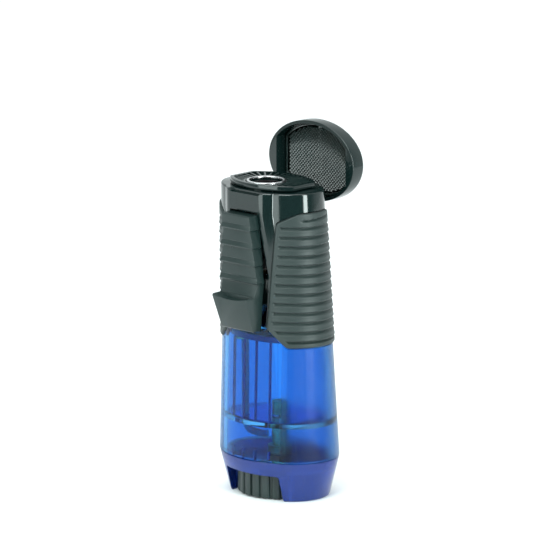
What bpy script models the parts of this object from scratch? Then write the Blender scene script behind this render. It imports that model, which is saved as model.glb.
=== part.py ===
"""Refillable jet-flame lighter with a slide trigger and a flip lid, built from its separate pieces.

Metres, +Z up. The trigger faces -Y and the lid's hinge is at +Y. Sizes are given from the
middle of the rim, and one empty sets everything over the middle of the whole object's box.
"""

import math

import bmesh
import bpy
from mathutils import Matrix, Vector

GAP = 0.0003

# The outer body is an oval that widens downwards and leans back.
RIM_Z = 0.0778
RIM_HALF_WIDTH = 0.01465
RIM_HALF_DEPTH = 0.0098
TANK_TOP_Z = 0.0440
TANK_TOP_HALF_WIDTH = 0.0153
TANK_TOP_HALF_DEPTH = 0.0110
TANK_TOP_Y = 0.0017
CREASE_Z = 0.0103
CREASE_HALF_WIDTH = 0.0165
CREASE_HALF_DEPTH = 0.0127
CREASE_Y = 0.0026
FOOT_HALF_WIDTH = 0.0135
FOOT_HALF_DEPTH = 0.0108
FOOT_Y = 0.00285
STATIONS = (
    (0.0, FOOT_HALF_WIDTH, FOOT_HALF_DEPTH, FOOT_Y),
    (CREASE_Z, CREASE_HALF_WIDTH, CREASE_HALF_DEPTH, CREASE_Y),
    (TANK_TOP_Z, TANK_TOP_HALF_WIDTH, TANK_TOP_HALF_DEPTH, TANK_TOP_Y),
    (RIM_Z, RIM_HALF_WIDTH, RIM_HALF_DEPTH, 0.0),
)
OVAL_STEPS = 48

HOUSING_SIDE_WALL = 0.0021
HOUSING_FRONT_WALL = 0.0019
ROOF = 0.0014
LIP = 0.0005
NOTCH_HALF_WIDTH = 0.0048
NOTCH_DEPTH = 0.0007

# A flat panel stands proud of the oval above the trigger and fades out lower down.
PANEL_FOOT_Z = 0.0560
PANEL_TOP_HALF_WIDTH = 0.0054
PANEL_FOOT_HALF_WIDTH = 0.0070
PANEL_TOP_Y = -0.0102
PANEL_FOOT_Y = -0.0084
PANEL_FLARE = 0.0026

GRIP_PROUD = 0.0005
GRIP_THICKNESS = 0.0012
GRIP_TOP_DROP = 0.0048
GRIP_SHOULDER_X = 0.0137
GRIP_FRONT_TOP_X = 0.0088
GRIP_FRONT_DROP = 0.0026
GRIP_FRONT_BOTTOM_X = 0.0062
GRIP_OVERHANG = 0.0046
GRIP_CHAMFER_X = 0.0110

TRIGGER_TOP_DROP = 0.0055
TRIGGER_TRAVEL = 0.0045
TRIGGER_TOP_HALF_WIDTH = 0.0043
TRIGGER_HALF_WIDTH = 0.0062
TRIGGER_FOOT_HALF_WIDTH = 0.0052
TRIGGER_TOP_Y = -0.01325
TRIGGER_WAIST_Y = -0.0120
SHELF_Z = 0.0522
SHELF_Y = -0.0154
SHELF_FOOT_Y = -0.0126
RIB_COUNT = 4
RIB_DROP = 0.0039
RIB_PITCH = 0.00435
RIB_STEP = 0.0003
CARRIAGE_Y = (-0.0054, -0.0044)
CARRIAGE_HEIGHT = 0.0075

TANK_WALL = 0.0018
TANK_FLOOR_Z = 0.0197
TANK_FLOOR = 0.0010
TANK_LID_THICKNESS = 0.0037
SEAL_DEPTH = 0.0008
SEAL_HEIGHT = 0.0012

BASE_WALL = 0.0020
BASE_PLATE_Z = (0.0068, 0.0080)
CUTOUT_HALF_WIDTH = 0.0088
WHEEL_RADIUS = 0.0106
WHEEL_FLUTES = 24
FLUTE_DEPTH = 0.0006
WHEEL_RIM = 0.0019
WHEEL_RECESS_Z = 0.0038
WHEEL_BOTTOM_Z = 0.0003
HUB_RADIUS = 0.0030

LID_HALF_WIDTH = 0.0142
LID_HALF_DEPTH = 0.0101
LID_MIDDLE_Y = 0.0003
LID_HEIGHT = 0.0045
LID_WALL = 0.0008
LID_ROOF = 0.0007
LID_FLAT_X = 0.0116
LINER_THICKNESS = 0.0003
LID_OPEN_DEG = 90.0
HINGE_Y = 0.0089
HINGE_DROP = 0.0047
PIN_RADIUS = 0.0007
KNUCKLE_RADIUS = 0.0019
KNUCKLE_X = (0.0013, 0.0034)
CHEEK_X = 0.0053

DECK_HALF_WIDTH = 0.0120
DECK_HALF_DEPTH = 0.0081
DECK_FLAT_X = 0.0106
DECK_HEIGHT = 0.0015
BURNER_Y = -0.0022
BURNER_RADIUS = 0.0037
BURNER_WALL = 0.0005
BURNER_DROP = 0.0007
MIXER_RADIUS = 0.0022
JET_RADIUS = 0.0012

PIEZO_X = (0.0046, 0.0090)
PIEZO_Y = (-0.0026, 0.0034)
PIEZO_HEIGHT = 0.0160
PLUNGER_HALF = 0.0013

VALVE_X = -0.0065
VALVE_Y = -0.0025
VALVE_RADIUS = 0.0016
LEVER_PIVOT_Y = 0.0005
LEVER_PIVOT_RISE = 0.0028
LEVER_HALF_WIDTH = 0.0012

REFILL_Y = FOOT_Y

TANK_LID_Z = TANK_TOP_Z - GAP
LID_Z = RIM_Z + GAP
DECK_Z = RIM_Z + GAP
DECK_TOP_Z = DECK_Z + DECK_HEIGHT - GAP
HINGE_Z = RIM_Z - HINGE_DROP
TRIGGER_Z = TANK_TOP_Z - 0.0005
TRIGGER_TOP_Z = RIM_Z - TRIGGER_TOP_DROP
CARRIAGE_Z = TANK_TOP_Z + TRIGGER_TRAVEL + 0.0005
ARM_Z = TANK_TOP_Z + 0.0220
LID_BACK_Y = HINGE_Y + LID_Z + LID_HEIGHT - HINGE_Z
MIDDLE_Y = (SHELF_Y + LID_BACK_Y) / 2

for old in list(bpy.data.objects):
    bpy.data.objects.remove(old, do_unlink=True)

parts = bpy.data.collections.new("jet_lighter")
cutters = bpy.data.collections.new("cutters")
for group in (parts, cutters):
    bpy.context.scene.collection.children.link(group)


def material(name, colour, roughness, metallic=0.0):
    made = bpy.data.materials.new(name)
    made.use_nodes = True
    shader = made.node_tree.nodes["Principled BSDF"]
    shader.inputs["Base Color"].default_value = (*colour, 1.0)
    shader.inputs["Roughness"].default_value = roughness
    shader.inputs["Metallic"].default_value = metallic
    return made


GLOSS_BLACK = ((0.012, 0.020, 0.020), 0.15)
GRIP_RUBBER = ((0.035, 0.055, 0.053), 0.55)
TRIGGER_BLACK = ((0.030, 0.048, 0.046), 0.40)
CLEAR_BLUE = ((0.02, 0.20, 0.80), 0.10)
DARK_BLUE = ((0.05, 0.07, 0.40), 0.20)
STEEL = ((0.60, 0.60, 0.60), 0.25, 1.0)
BRASS = ((0.75, 0.55, 0.22), 0.30, 1.0)
CERAMIC = ((0.85, 0.83, 0.78), 0.50)
HOSE_CLEAR = ((0.55, 0.55, 0.50), 0.40)
SEAL_RUBBER = ((0.02, 0.02, 0.02), 0.70)
CHASSIS_BLACK = ((0.03, 0.03, 0.03), 0.50)


def finish_part(name, made, finish=None):
    """Name the object, put it with the parts, or with the cutters if it has no finish."""
    made.name = name
    made.data.name = name
    for group in list(made.users_collection):
        group.objects.unlink(made)
    if finish is None:
        cutters.objects.link(made)
        made.hide_render = True
        made.display_type = "WIRE"
    else:
        parts.objects.link(made)
        made.data.materials.append(material(name, *finish))
    return made


def from_bmesh(name, shape, finish=None):
    bmesh.ops.recalc_face_normals(shape, faces=shape.faces)
    mesh = bpy.data.meshes.new(name)
    shape.to_mesh(mesh)
    shape.free()
    made = bpy.data.objects.new(name, mesh)
    bpy.context.scene.collection.objects.link(made)
    return finish_part(name, made, finish)


def box(name, low, high, finish=None):
    shape = bmesh.new()
    bmesh.ops.create_cube(shape, size=1.0)
    low, high = Vector(low), Vector(high)
    bmesh.ops.scale(shape, verts=shape.verts, vec=high - low)
    bmesh.ops.translate(shape, verts=shape.verts, vec=(low + high) / 2)
    return from_bmesh(name, shape, finish)


def rod(name, radius, start, end, finish=None, sides=24):
    shape = bmesh.new()
    start, end = Vector(start), Vector(end)
    along = end - start
    bmesh.ops.create_cone(
        shape, cap_ends=True, segments=sides, radius1=radius, radius2=radius, depth=along.length
    )
    bmesh.ops.rotate(shape, verts=shape.verts, matrix=along.to_track_quat("Z", "X").to_matrix())
    bmesh.ops.translate(shape, verts=shape.verts, vec=(start + end) / 2)
    return from_bmesh(name, shape, finish)


def turned(name, profile, x, y, finish=None, closed=True, steps=24):
    """Turn (radius, z) points about the vertical axis at (x, y); outer side first, downwards."""
    mesh = bpy.data.meshes.new(name)
    count = len(profile)
    edges = [(i, (i + 1) % count) for i in range(count if closed else count - 1)]
    mesh.from_pydata([(radius, 0.0, z) for radius, z in profile], edges, [])
    made = bpy.data.objects.new(name, mesh)
    made.location = (x, y, 0.0)
    bpy.context.scene.collection.objects.link(made)
    screw = made.modifiers.new("turn", "SCREW")
    screw.steps = steps
    screw.render_steps = steps
    screw.use_merge_vertices = True
    screw.merge_threshold = 0.00001
    return finish_part(name, made, finish)


def curve_to_mesh(name, curve, turn, finish=None):
    """Make a curve a welded mesh, turned into place."""
    drawn = bpy.data.objects.new(name, curve)
    bpy.context.scene.collection.objects.link(drawn)
    seen = drawn.evaluated_get(bpy.context.evaluated_depsgraph_get())
    mesh = bpy.data.meshes.new_from_object(seen)
    shape = bmesh.new()
    shape.from_mesh(mesh)
    bmesh.ops.remove_doubles(shape, verts=shape.verts, dist=0.000001)
    bmesh.ops.transform(shape, matrix=turn, verts=shape.verts)
    bpy.data.objects.remove(drawn, do_unlink=True)
    return from_bmesh(name, shape, finish)


FACING = {
    "X": Matrix(((0, 0, 1, 0), (1, 0, 0, 0), (0, 1, 0, 0), (0, 0, 0, 1))),
    "Y": Matrix(((1, 0, 0, 0), (0, 0, -1, 0), (0, 1, 0, 0), (0, 0, 0, 1))),
    "Z": Matrix.Identity(4),
}


def extruded(name, outline, axis, low, high, finish=None):
    """A flat outline in YZ, XZ or XY, extruded along X, Y or Z from low to high."""
    curve = bpy.data.curves.new(name, "CURVE")
    curve.dimensions = "2D"
    curve.fill_mode = "BOTH"
    curve.extrude = (high - low) / 2
    spline = curve.splines.new("POLY")
    spline.points.add(len(outline) - 1)
    for point, (across, up) in zip(spline.points, outline):
        point.co = (across, up, 0.0, 1.0)
    spline.use_cyclic_u = True
    middle = (low + high) / 2
    place = {"X": (middle, 0, 0), "Y": (0, middle, 0), "Z": (0, 0, middle)}[axis]
    return curve_to_mesh(name, curve, Matrix.Translation(place) @ FACING[axis], finish)


def tube(name, points, radius, finish):
    curve = bpy.data.curves.new(name, "CURVE")
    curve.dimensions = "3D"
    curve.bevel_depth = radius
    curve.bevel_resolution = 2
    curve.use_fill_caps = True
    spline = curve.splines.new("POLY")
    spline.points.add(len(points) - 1)
    for point, place in zip(spline.points, points):
        point.co = (*place, 1.0)
    return curve_to_mesh(name, curve, Matrix.Identity(4), finish)


def smooth_route(points, steps=4):
    """Points along a smooth curve that passes through the given ones."""
    knots = [Vector(point) for point in points]
    knots = [2 * knots[0] - knots[1], *knots, 2 * knots[-1] - knots[-2]]
    route = []
    for before, start, end, after in zip(knots, knots[1:], knots[2:], knots[3:]):
        for step in range(steps):
            t = step / steps
            route.append(
                start
                + 0.5 * t * (end - before)
                + t * t * (before - 2.5 * start + 2 * end - 0.5 * after)
                + t ** 3 * (1.5 * (start - end) + 0.5 * (after - before))
            )
    return [*route, knots[-2]]


def coil(name, middle, axis, radius, wire, turns, low, high, finish, per_turn=10):
    """A spring wound about an X or Z axis through middle, from low to high along it."""
    points = []
    for step in range(turns * per_turn + 1):
        angle = 2 * math.pi * step / per_turn
        along = low + wire + (high - low - 2 * wire) * step / (turns * per_turn)
        across = (radius * math.cos(angle), radius * math.sin(angle))
        if axis == "X":
            points.append((along, middle[0] + across[0], middle[1] + across[1]))
        else:
            points.append((middle[0] + across[0], middle[1] + across[1], along))
    return tube(name, points, wire, finish)


def oval(half_width, half_depth, middle_y, z, steps=OVAL_STEPS):
    angles = [2 * math.pi * step / steps for step in range(steps)]
    return [(half_width * math.cos(a), middle_y + half_depth * math.sin(a), z) for a in angles]


def loft(name, rings, finish=None):
    """A closed solid through level rings of points, lowest ring first."""
    shape = bmesh.new()
    layers = [[shape.verts.new(point) for point in ring] for ring in rings]
    shape.faces.new(layers[0])
    shape.faces.new(layers[-1])
    for below, above in zip(layers, layers[1:]):
        for i in range(len(below)):
            j = (i + 1) % len(below)
            shape.faces.new((below[i], below[j], above[j], above[i]))
    return from_bmesh(name, shape, finish)


def section(z):
    """Half width, half depth and middle of the body's oval at height z."""
    pairs = list(zip(STATIONS, STATIONS[1:]))
    low, high = next((pair for pair in pairs if z <= pair[1][0]), pairs[-1])
    share = (z - low[0]) / (high[0] - low[0])
    return [below + share * (above - below) for below, above in zip(low[1:], high[1:])]


def body_solid(name, levels, finish=None):
    """A solid that follows the body's outside, at levels (z, growth in X, growth in Y)."""
    rings = []
    for z, grow_x, grow_y in levels:
        half_width, half_depth, middle = section(z)
        rings.append(oval(half_width + grow_x, half_depth + grow_y, middle, z))
    return loft(name, rings, finish)


def cropped_oval(half_width, half_depth, flat_x, middle_y=0.0, steps=14):
    """An oval outline with its two ends cut off straight at flat_x."""
    start = math.acos(flat_x / half_width)
    sweep = math.pi - 2 * start
    outline = []
    for first in (start, start + math.pi):
        for step in range(steps + 1):
            angle = first + sweep * step / steps
            outline.append((half_width * math.cos(angle), middle_y + half_depth * math.sin(angle)))
    return outline


def circle(radius, count):
    angles = [2 * math.pi * step / count for step in range(count)]
    return [(radius * math.cos(a), radius * math.sin(a)) for a in angles]


def rounded(outline, radii, steps=4):
    """Replace each corner of an outline with an arc of its own radius."""
    count = len(outline)
    result = []
    for i, radius in enumerate(radii):
        corner = Vector(outline[i])
        back = (Vector(outline[i - 1]) - corner).normalized()
        ahead = (Vector(outline[(i + 1) % count]) - corner).normalized()
        if radius == 0:
            result.append(tuple(corner))
            continue
        half = back.angle(ahead) / 2
        middle = corner + (back + ahead).normalized() * radius / math.sin(half)
        first = corner + back * radius / math.tan(half) - middle
        last = corner + ahead * radius / math.tan(half) - middle
        for step in range(steps + 1):
            spoke = first.slerp(last, step / steps).normalized()
            result.append(tuple(middle + spoke * radius))
    return result


def combine(target, how, *others):
    for other in others:
        boolean = target.modifiers.new(other.name, "BOOLEAN")
        boolean.operation = how
        boolean.solver = "EXACT"
        boolean.object = other
    return target


def cut(target, *others):
    return combine(target, "DIFFERENCE", *others)


def join(target, *others):
    return combine(target, "UNION", *others)


def keep_inside(target, *others):
    return combine(target, "INTERSECT", *others)


def set_origin(made, point):
    made.data.transform(Matrix.Translation(-Vector(point)))
    made.location = point


def grip_outline(grow, side):
    """The side grip seen from the front, for side +1 or -1."""
    far = RIM_HALF_WIDTH + CREASE_HALF_WIDTH
    top = RIM_Z - GRIP_TOP_DROP + grow
    foot = TANK_TOP_Z - GRIP_OVERHANG - grow
    outline = [
        (far, top),
        (GRIP_SHOULDER_X, top),
        (GRIP_FRONT_TOP_X - grow, top - GRIP_FRONT_DROP),
        (GRIP_FRONT_BOTTOM_X - grow, TANK_TOP_Z),
        (GRIP_CHAMFER_X - grow, foot),
        (far, foot),
    ]
    points = rounded(outline, (0, 0.0030, 0.0014, 0.0004, 0.0004, 0))
    return [(side * across, up) for across, up in points]


def make_grips():
    """Rubber side grips, and the shallow seats that they lie in."""
    reach = RIM_HALF_DEPTH + CREASE_HALF_DEPTH
    low, high = TANK_TOP_Z - 0.0200, RIM_Z
    seats = []
    for side, name in ((-1, "left_grip"), (1, "right_grip")):
        grip = extruded(name, grip_outline(0.0, side), "Y", -reach, reach, GRIP_RUBBER)
        outer = body_solid(name + "_outer", (
            (low, GRIP_PROUD, GRIP_PROUD),
            (TANK_TOP_Z, GRIP_PROUD, GRIP_PROUD),
            (high, GRIP_PROUD, GRIP_PROUD),
        ))
        sunk = GRIP_PROUD - GRIP_THICKNESS
        inner = body_solid(name + "_inner", (
            (low, sunk, sunk), (TANK_TOP_Z, sunk, sunk), (high, sunk, sunk),
        ))
        keep_inside(grip, outer)
        cut(grip, inner)
        far_half = box(name + "_half", (-side * 0.05, -0.05, 0), (-side * 0.0001, 0.05, 0.2))
        cut(grip, far_half)
        seat = extruded(name + "_seat", grip_outline(GAP, side), "Y", -reach, reach)
        core = body_solid(name + "_core", (
            (low, sunk - GAP, sunk - GAP),
            (TANK_TOP_Z, sunk - GAP, sunk - GAP),
            (high, sunk - GAP, sunk - GAP),
        ))
        cut(seat, core)
        seats.append(seat)
    return seats


def hinge_bay(name):
    half = KNUCKLE_X[1] + GAP
    low = (-half, HINGE_Y - KNUCKLE_RADIUS - GAP, HINGE_Z - KNUCKLE_RADIUS - GAP)
    return box(name, low, (half, HINGE_Y + 0.006, RIM_Z + 0.001))


def make_upper_housing(seats):
    """Gloss shell with a flat front panel, a slot for the trigger, a burner hole and the hinge bay."""
    housing = body_solid("upper_housing", (
        (TANK_TOP_Z + GAP / 2, 0, 0), (RIM_Z - LIP, 0, 0), (RIM_Z, -LIP * 0.7, -LIP * 0.7),
    ), GLOSS_BLACK)
    rings = []
    for z, half_width, front, inset in (
        (PANEL_FOOT_Z, PANEL_FOOT_HALF_WIDTH, PANEL_FOOT_Y, 0.0),
        (TRIGGER_TOP_Z, PANEL_TOP_HALF_WIDTH, PANEL_TOP_Y, 0.0),
        (RIM_Z - LIP, PANEL_TOP_HALF_WIDTH, PANEL_TOP_Y, 0.0),
        (RIM_Z, PANEL_TOP_HALF_WIDTH, PANEL_TOP_Y, LIP * 0.7),
    ):
        flare = half_width + PANEL_FLARE
        half = [(half_width, front + inset), (flare, front + 0.0018 + inset), (flare, front + 0.0040)]
        rings.append([(x, y, z) for x, y in half] + [(-x, y, z) for x, y in reversed(half)])
    panel = loft("front_panel", rings)
    hollow = body_solid("housing_hollow", (
        (TANK_TOP_Z - 0.005, -HOUSING_SIDE_WALL, -HOUSING_FRONT_WALL),
        (TANK_TOP_Z, -HOUSING_SIDE_WALL, -HOUSING_FRONT_WALL),
        (RIM_Z - ROOF, -HOUSING_SIDE_WALL, -HOUSING_FRONT_WALL),
    ))
    wide = TRIGGER_HALF_WIDTH + GAP
    slot_half = [
        (TRIGGER_TOP_HALF_WIDTH + GAP, TRIGGER_TOP_Z + 0.0005),
        (wide, TANK_TOP_Z + 0.0140),
        (wide - 0.0002, TANK_TOP_Z + 0.0060),
        (TRIGGER_FOOT_HALF_WIDTH + GAP, TANK_TOP_Z - 0.0010),
    ]
    slot_outline = slot_half + [(-across, up) for across, up in reversed(slot_half)]
    slot = extruded("trigger_slot", slot_outline, "Y", -0.05, CARRIAGE_Y[0])
    burner_hole = rod(
        "burner_hole", BURNER_RADIUS + 0.0018,
        (0, BURNER_Y, RIM_Z - 0.003), (0, BURNER_Y, RIM_Z + 0.001),
    )
    cheeks = rod(
        "hinge_cheeks", KNUCKLE_RADIUS, (-CHEEK_X, HINGE_Y, HINGE_Z), (CHEEK_X, HINGE_Y, HINGE_Z),
    )
    pin_hole = rod(
        "pin_hole", PIN_RADIUS + GAP,
        (-CHEEK_X - GAP, HINGE_Y, HINGE_Z), (CHEEK_X + GAP, HINGE_Y, HINGE_Z), sides=16,
    )
    notch_outline = [
        (-NOTCH_HALF_WIDTH - NOTCH_DEPTH * 2, RIM_Z + NOTCH_DEPTH),
        (-NOTCH_HALF_WIDTH, RIM_Z - NOTCH_DEPTH),
        (NOTCH_HALF_WIDTH, RIM_Z - NOTCH_DEPTH),
        (NOTCH_HALF_WIDTH + NOTCH_DEPTH * 2, RIM_Z + NOTCH_DEPTH),
    ]
    notch = extruded("rim_notch", notch_outline, "Y", -0.05, PANEL_TOP_Y + 0.0011)
    join(housing, panel)
    cut(housing, slot, hollow, burner_hole)
    join(housing, cheeks)
    cut(housing, hinge_bay("hinge_bay"), pin_hole, notch, *seats)


def make_trigger():
    """Ribbed thumb slide with a shelf, its carriage inside the housing and two arms."""
    skin_y = -RIM_HALF_DEPTH + 0.0002
    profile = [(skin_y, TRIGGER_TOP_Z), (TRIGGER_TOP_Y, TRIGGER_TOP_Z - 0.0004)]
    for rib in range(RIB_COUNT):
        share = (rib + 1) / RIB_COUNT
        face_y = TRIGGER_TOP_Y + share * (TRIGGER_WAIST_Y - TRIGGER_TOP_Y)
        low = TRIGGER_TOP_Z - RIB_DROP - rib * RIB_PITCH
        profile += [(face_y - RIB_STEP, low + RIB_STEP), (face_y + RIB_STEP, low)]
    profile += [
        (SHELF_Y, SHELF_Z),
        (SHELF_Y, SHELF_Z - 0.0006),
        (SHELF_FOOT_Y, TRIGGER_Z),
        (skin_y, TRIGGER_Z),
    ]
    trigger = extruded("trigger", profile, "X", -0.02, 0.02, TRIGGER_BLACK)
    half = [
        (TRIGGER_TOP_HALF_WIDTH, TRIGGER_TOP_Z + 0.001),
        (TRIGGER_HALF_WIDTH, SHELF_Z + 0.0030),
        (TRIGGER_HALF_WIDTH - 0.0005, SHELF_Z - 0.0006),
        (TRIGGER_FOOT_HALF_WIDTH, TRIGGER_Z - 0.001),
    ]
    front = extruded(
        "trigger_front", half + [(-across, up) for across, up in reversed(half)],
        "Y", -0.05, 0.0,
    )
    near, far = CARRIAGE_Y
    web_half = TRIGGER_TOP_HALF_WIDTH - GAP
    carriage_top = CARRIAGE_Z + CARRIAGE_HEIGHT
    web = box("trigger_web", (-web_half, skin_y - 0.0002, CARRIAGE_Z + 0.0005),
              (web_half, near + 0.0002, carriage_top - 0.0010))
    back = box("trigger_back", (-web_half, skin_y - 0.0003, CARRIAGE_Z + 0.0050),
               (web_half, -RIM_HALF_DEPTH + 0.0023, TRIGGER_TOP_Z - 0.0006))
    carriage = box("carriage", (-0.0082, near, CARRIAGE_Z), (0.0082, far, carriage_top))
    riser = box("trigger_riser", (PIEZO_X[0] + 0.0004, near, carriage_top - 0.0005),
                (0.0081, far, ARM_Z + 0.0015))
    piezo_arm = box("piezo_arm", (PIEZO_X[0] + 0.0005, near + 0.0001, ARM_Z),
                    (0.0080, PIEZO_Y[0] + 0.0044, ARM_Z + 0.0014))
    valve_arm = box("valve_arm", (-0.0087, far - 0.0006, CARRIAGE_Z + 0.0039),
                    (-0.0078, LEVER_PIVOT_Y + 0.0037, CARRIAGE_Z + 0.0051))
    keep_inside(trigger, front)
    join(trigger, web, back, carriage, riser, piezo_arm, valve_arm)


def make_tank(seats):
    """Clear fuel tank: a chamber above its floor and an open skirt below."""
    tank = body_solid("fuel_tank", (
        (CREASE_Z + GAP / 2, 0, 0), (TANK_TOP_Z - GAP / 2, 0, 0),
    ), CLEAR_BLUE)
    wall = -TANK_WALL
    chamber = body_solid("chamber", (
        (TANK_FLOOR_Z, wall, wall), (TANK_TOP_Z, wall, wall), (TANK_TOP_Z + 0.002, wall, wall),
    ))
    skirt = body_solid("skirt_hollow", (
        (CREASE_Z - 0.002, wall, wall), (CREASE_Z, wall, wall),
        (TANK_FLOOR_Z - TANK_FLOOR, wall, wall),
    ))
    low, high = TANK_FLOOR_Z - 0.003, TANK_FLOOR_Z + 0.002
    refill_hole = rod("refill_hole", 0.0023, (0, REFILL_Y, low), (0, REFILL_Y, high))
    tube_hole = rod("tube_hole", 0.0012, (VALVE_X, VALVE_Y, low), (VALVE_X, VALVE_Y, high), sides=16)
    cut(tank, chamber, skirt, refill_hole, tube_hole, *seats)


def make_tank_lid():
    """Plug that closes the tank, with the valve's hole and two cheeks for the lever's pin."""
    plug = -(TANK_WALL + 2 * GAP)
    floor = TANK_LID_Z - TANK_LID_THICKNESS
    lid = body_solid("tank_lid", ((floor, plug, plug), (TANK_LID_Z, plug, plug)), DARK_BLUE)
    groove_z = floor + 0.0014
    groove_high = groove_z + SEAL_HEIGHT + 2 * GAP
    groove = body_solid("seal_groove", ((groove_z, 0.001, 0.001), (groove_high, 0.001, 0.001)))
    deep = plug - SEAL_DEPTH - GAP
    land = body_solid("seal_land", ((groove_z - 0.001, deep, deep), (groove_high + 0.001, deep, deep)))
    cut(groove, land)
    seal_low, seal_high = groove_z + GAP, groove_z + GAP + SEAL_HEIGHT
    seal_out, seal_in = -(TANK_WALL + GAP), plug - SEAL_DEPTH
    seal = body_solid("tank_seal", (
        (seal_low, seal_out, seal_out), (seal_high, seal_out, seal_out),
    ), SEAL_RUBBER)
    seal_hole = body_solid("seal_hole", (
        (seal_low - 0.001, seal_in, seal_in), (seal_high + 0.001, seal_in, seal_in),
    ))
    cut(seal, seal_hole)
    valve_hole = rod("valve_hole", VALVE_RADIUS + GAP,
                     (VALVE_X, VALVE_Y, floor - 0.001), (VALVE_X, VALVE_Y, TANK_LID_Z + 0.001))
    pivot_z = TANK_TOP_Z + LEVER_PIVOT_RISE
    cut(lid, groove, valve_hole)
    near = LEVER_HALF_WIDTH + GAP
    for name, first, last in (
        ("cheek_outer", VALVE_X - near - 0.0007, VALVE_X - near),
        ("cheek_inner", VALVE_X + near, VALVE_X + near + 0.0007),
    ):
        join(lid, box(name, (first, LEVER_PIVOT_Y - 0.0011, TANK_LID_Z - 0.0003),
                      (last, LEVER_PIVOT_Y + 0.0011, pivot_z + 0.0013)))
    reach = near + 0.0010
    cut(lid, rod("lever_pin_hole", 0.0008, (VALVE_X - reach, LEVER_PIVOT_Y, pivot_z),
                 (VALVE_X + reach, LEVER_PIVOT_Y, pivot_z), sides=16))


def make_valve():
    """Gas valve: body, sprung stem, and the pivoted lever that lifts the stem."""
    low = TANK_LID_Z - TANK_LID_THICKNESS - GAP
    top = TANK_TOP_Z + 0.0020
    body = turned("valve_body", (
        (VALVE_RADIUS, top), (VALVE_RADIUS, low), (0.0024, low), (0.0024, low - 0.0008),
        (0.0006, low - 0.0008), (0.0006, low + 0.0006), (0.0011, low + 0.0006),
        (0.0011, top - 0.0007), (0.0007, top - 0.0007), (0.0007, top),
    ), VALVE_X, VALVE_Y, BRASS)
    barb_z = TANK_TOP_Z + 0.0009
    join(body, rod("valve_barb", 0.0005, (VALVE_X + 0.0013, VALVE_Y, barb_z),
                   (VALVE_X + 0.0030, VALVE_Y, barb_z), sides=12))
    head = TANK_TOP_Z + 0.0038
    turned("valve_stem", (
        (0.0, head + 0.0008), (0.0009, head + 0.0008), (0.0009, head), (0.0004, head),
        (0.0004, low + 0.0034), (0.0008, low + 0.0034), (0.0008, low + 0.0014),
        (0.0, low + 0.0014),
    ), VALVE_X, VALVE_Y, STEEL, closed=False, steps=16)
    coil("valve_spring", (VALVE_X, VALVE_Y), "Z", 0.00076, 0.00013, 3,
         low + 0.0037, top - 0.0010, STEEL, per_turn=8)
    pivot_z = TANK_TOP_Z + LEVER_PIVOT_RISE
    sides = (VALVE_X - LEVER_HALF_WIDTH, VALVE_X + LEVER_HALF_WIDTH)
    lever = box("valve_lever", (sides[0], VALVE_Y - 0.0009, pivot_z - 0.0004),
                (sides[1], LEVER_PIVOT_Y + 0.0034, pivot_z + 0.0004), STEEL)
    boss = rod("lever_boss", 0.0012, (sides[0] + 0.0001, LEVER_PIVOT_Y, pivot_z),
               (sides[1] - 0.0001, LEVER_PIVOT_Y, pivot_z))
    paddle = box("lever_paddle", (sides[0] - 0.0013, LEVER_PIVOT_Y + 0.0020, pivot_z - 0.0003),
                 (sides[1] - 0.0001, LEVER_PIVOT_Y + 0.0035, pivot_z + 0.0016))
    fork = box("lever_fork", (VALVE_X - 0.0007, VALVE_Y - 0.0020, pivot_z - 0.002),
               (VALVE_X + 0.0007, VALVE_Y + 0.0009, pivot_z + 0.002))
    hole = rod("lever_hole", 0.0008, (sides[0] - 0.001, LEVER_PIVOT_Y, pivot_z),
               (sides[1] + 0.001, LEVER_PIVOT_Y, pivot_z), sides=16)
    join(lever, boss, paddle)
    cut(lever, fork, hole)
    set_origin(lever, (VALVE_X, LEVER_PIVOT_Y, pivot_z))
    reach = LEVER_HALF_WIDTH + GAP + 0.0007
    rod("lever_pin", 0.0005, (VALVE_X - reach, LEVER_PIVOT_Y, pivot_z),
        (VALVE_X + reach, LEVER_PIVOT_Y, pivot_z), STEEL, sides=16)


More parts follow.
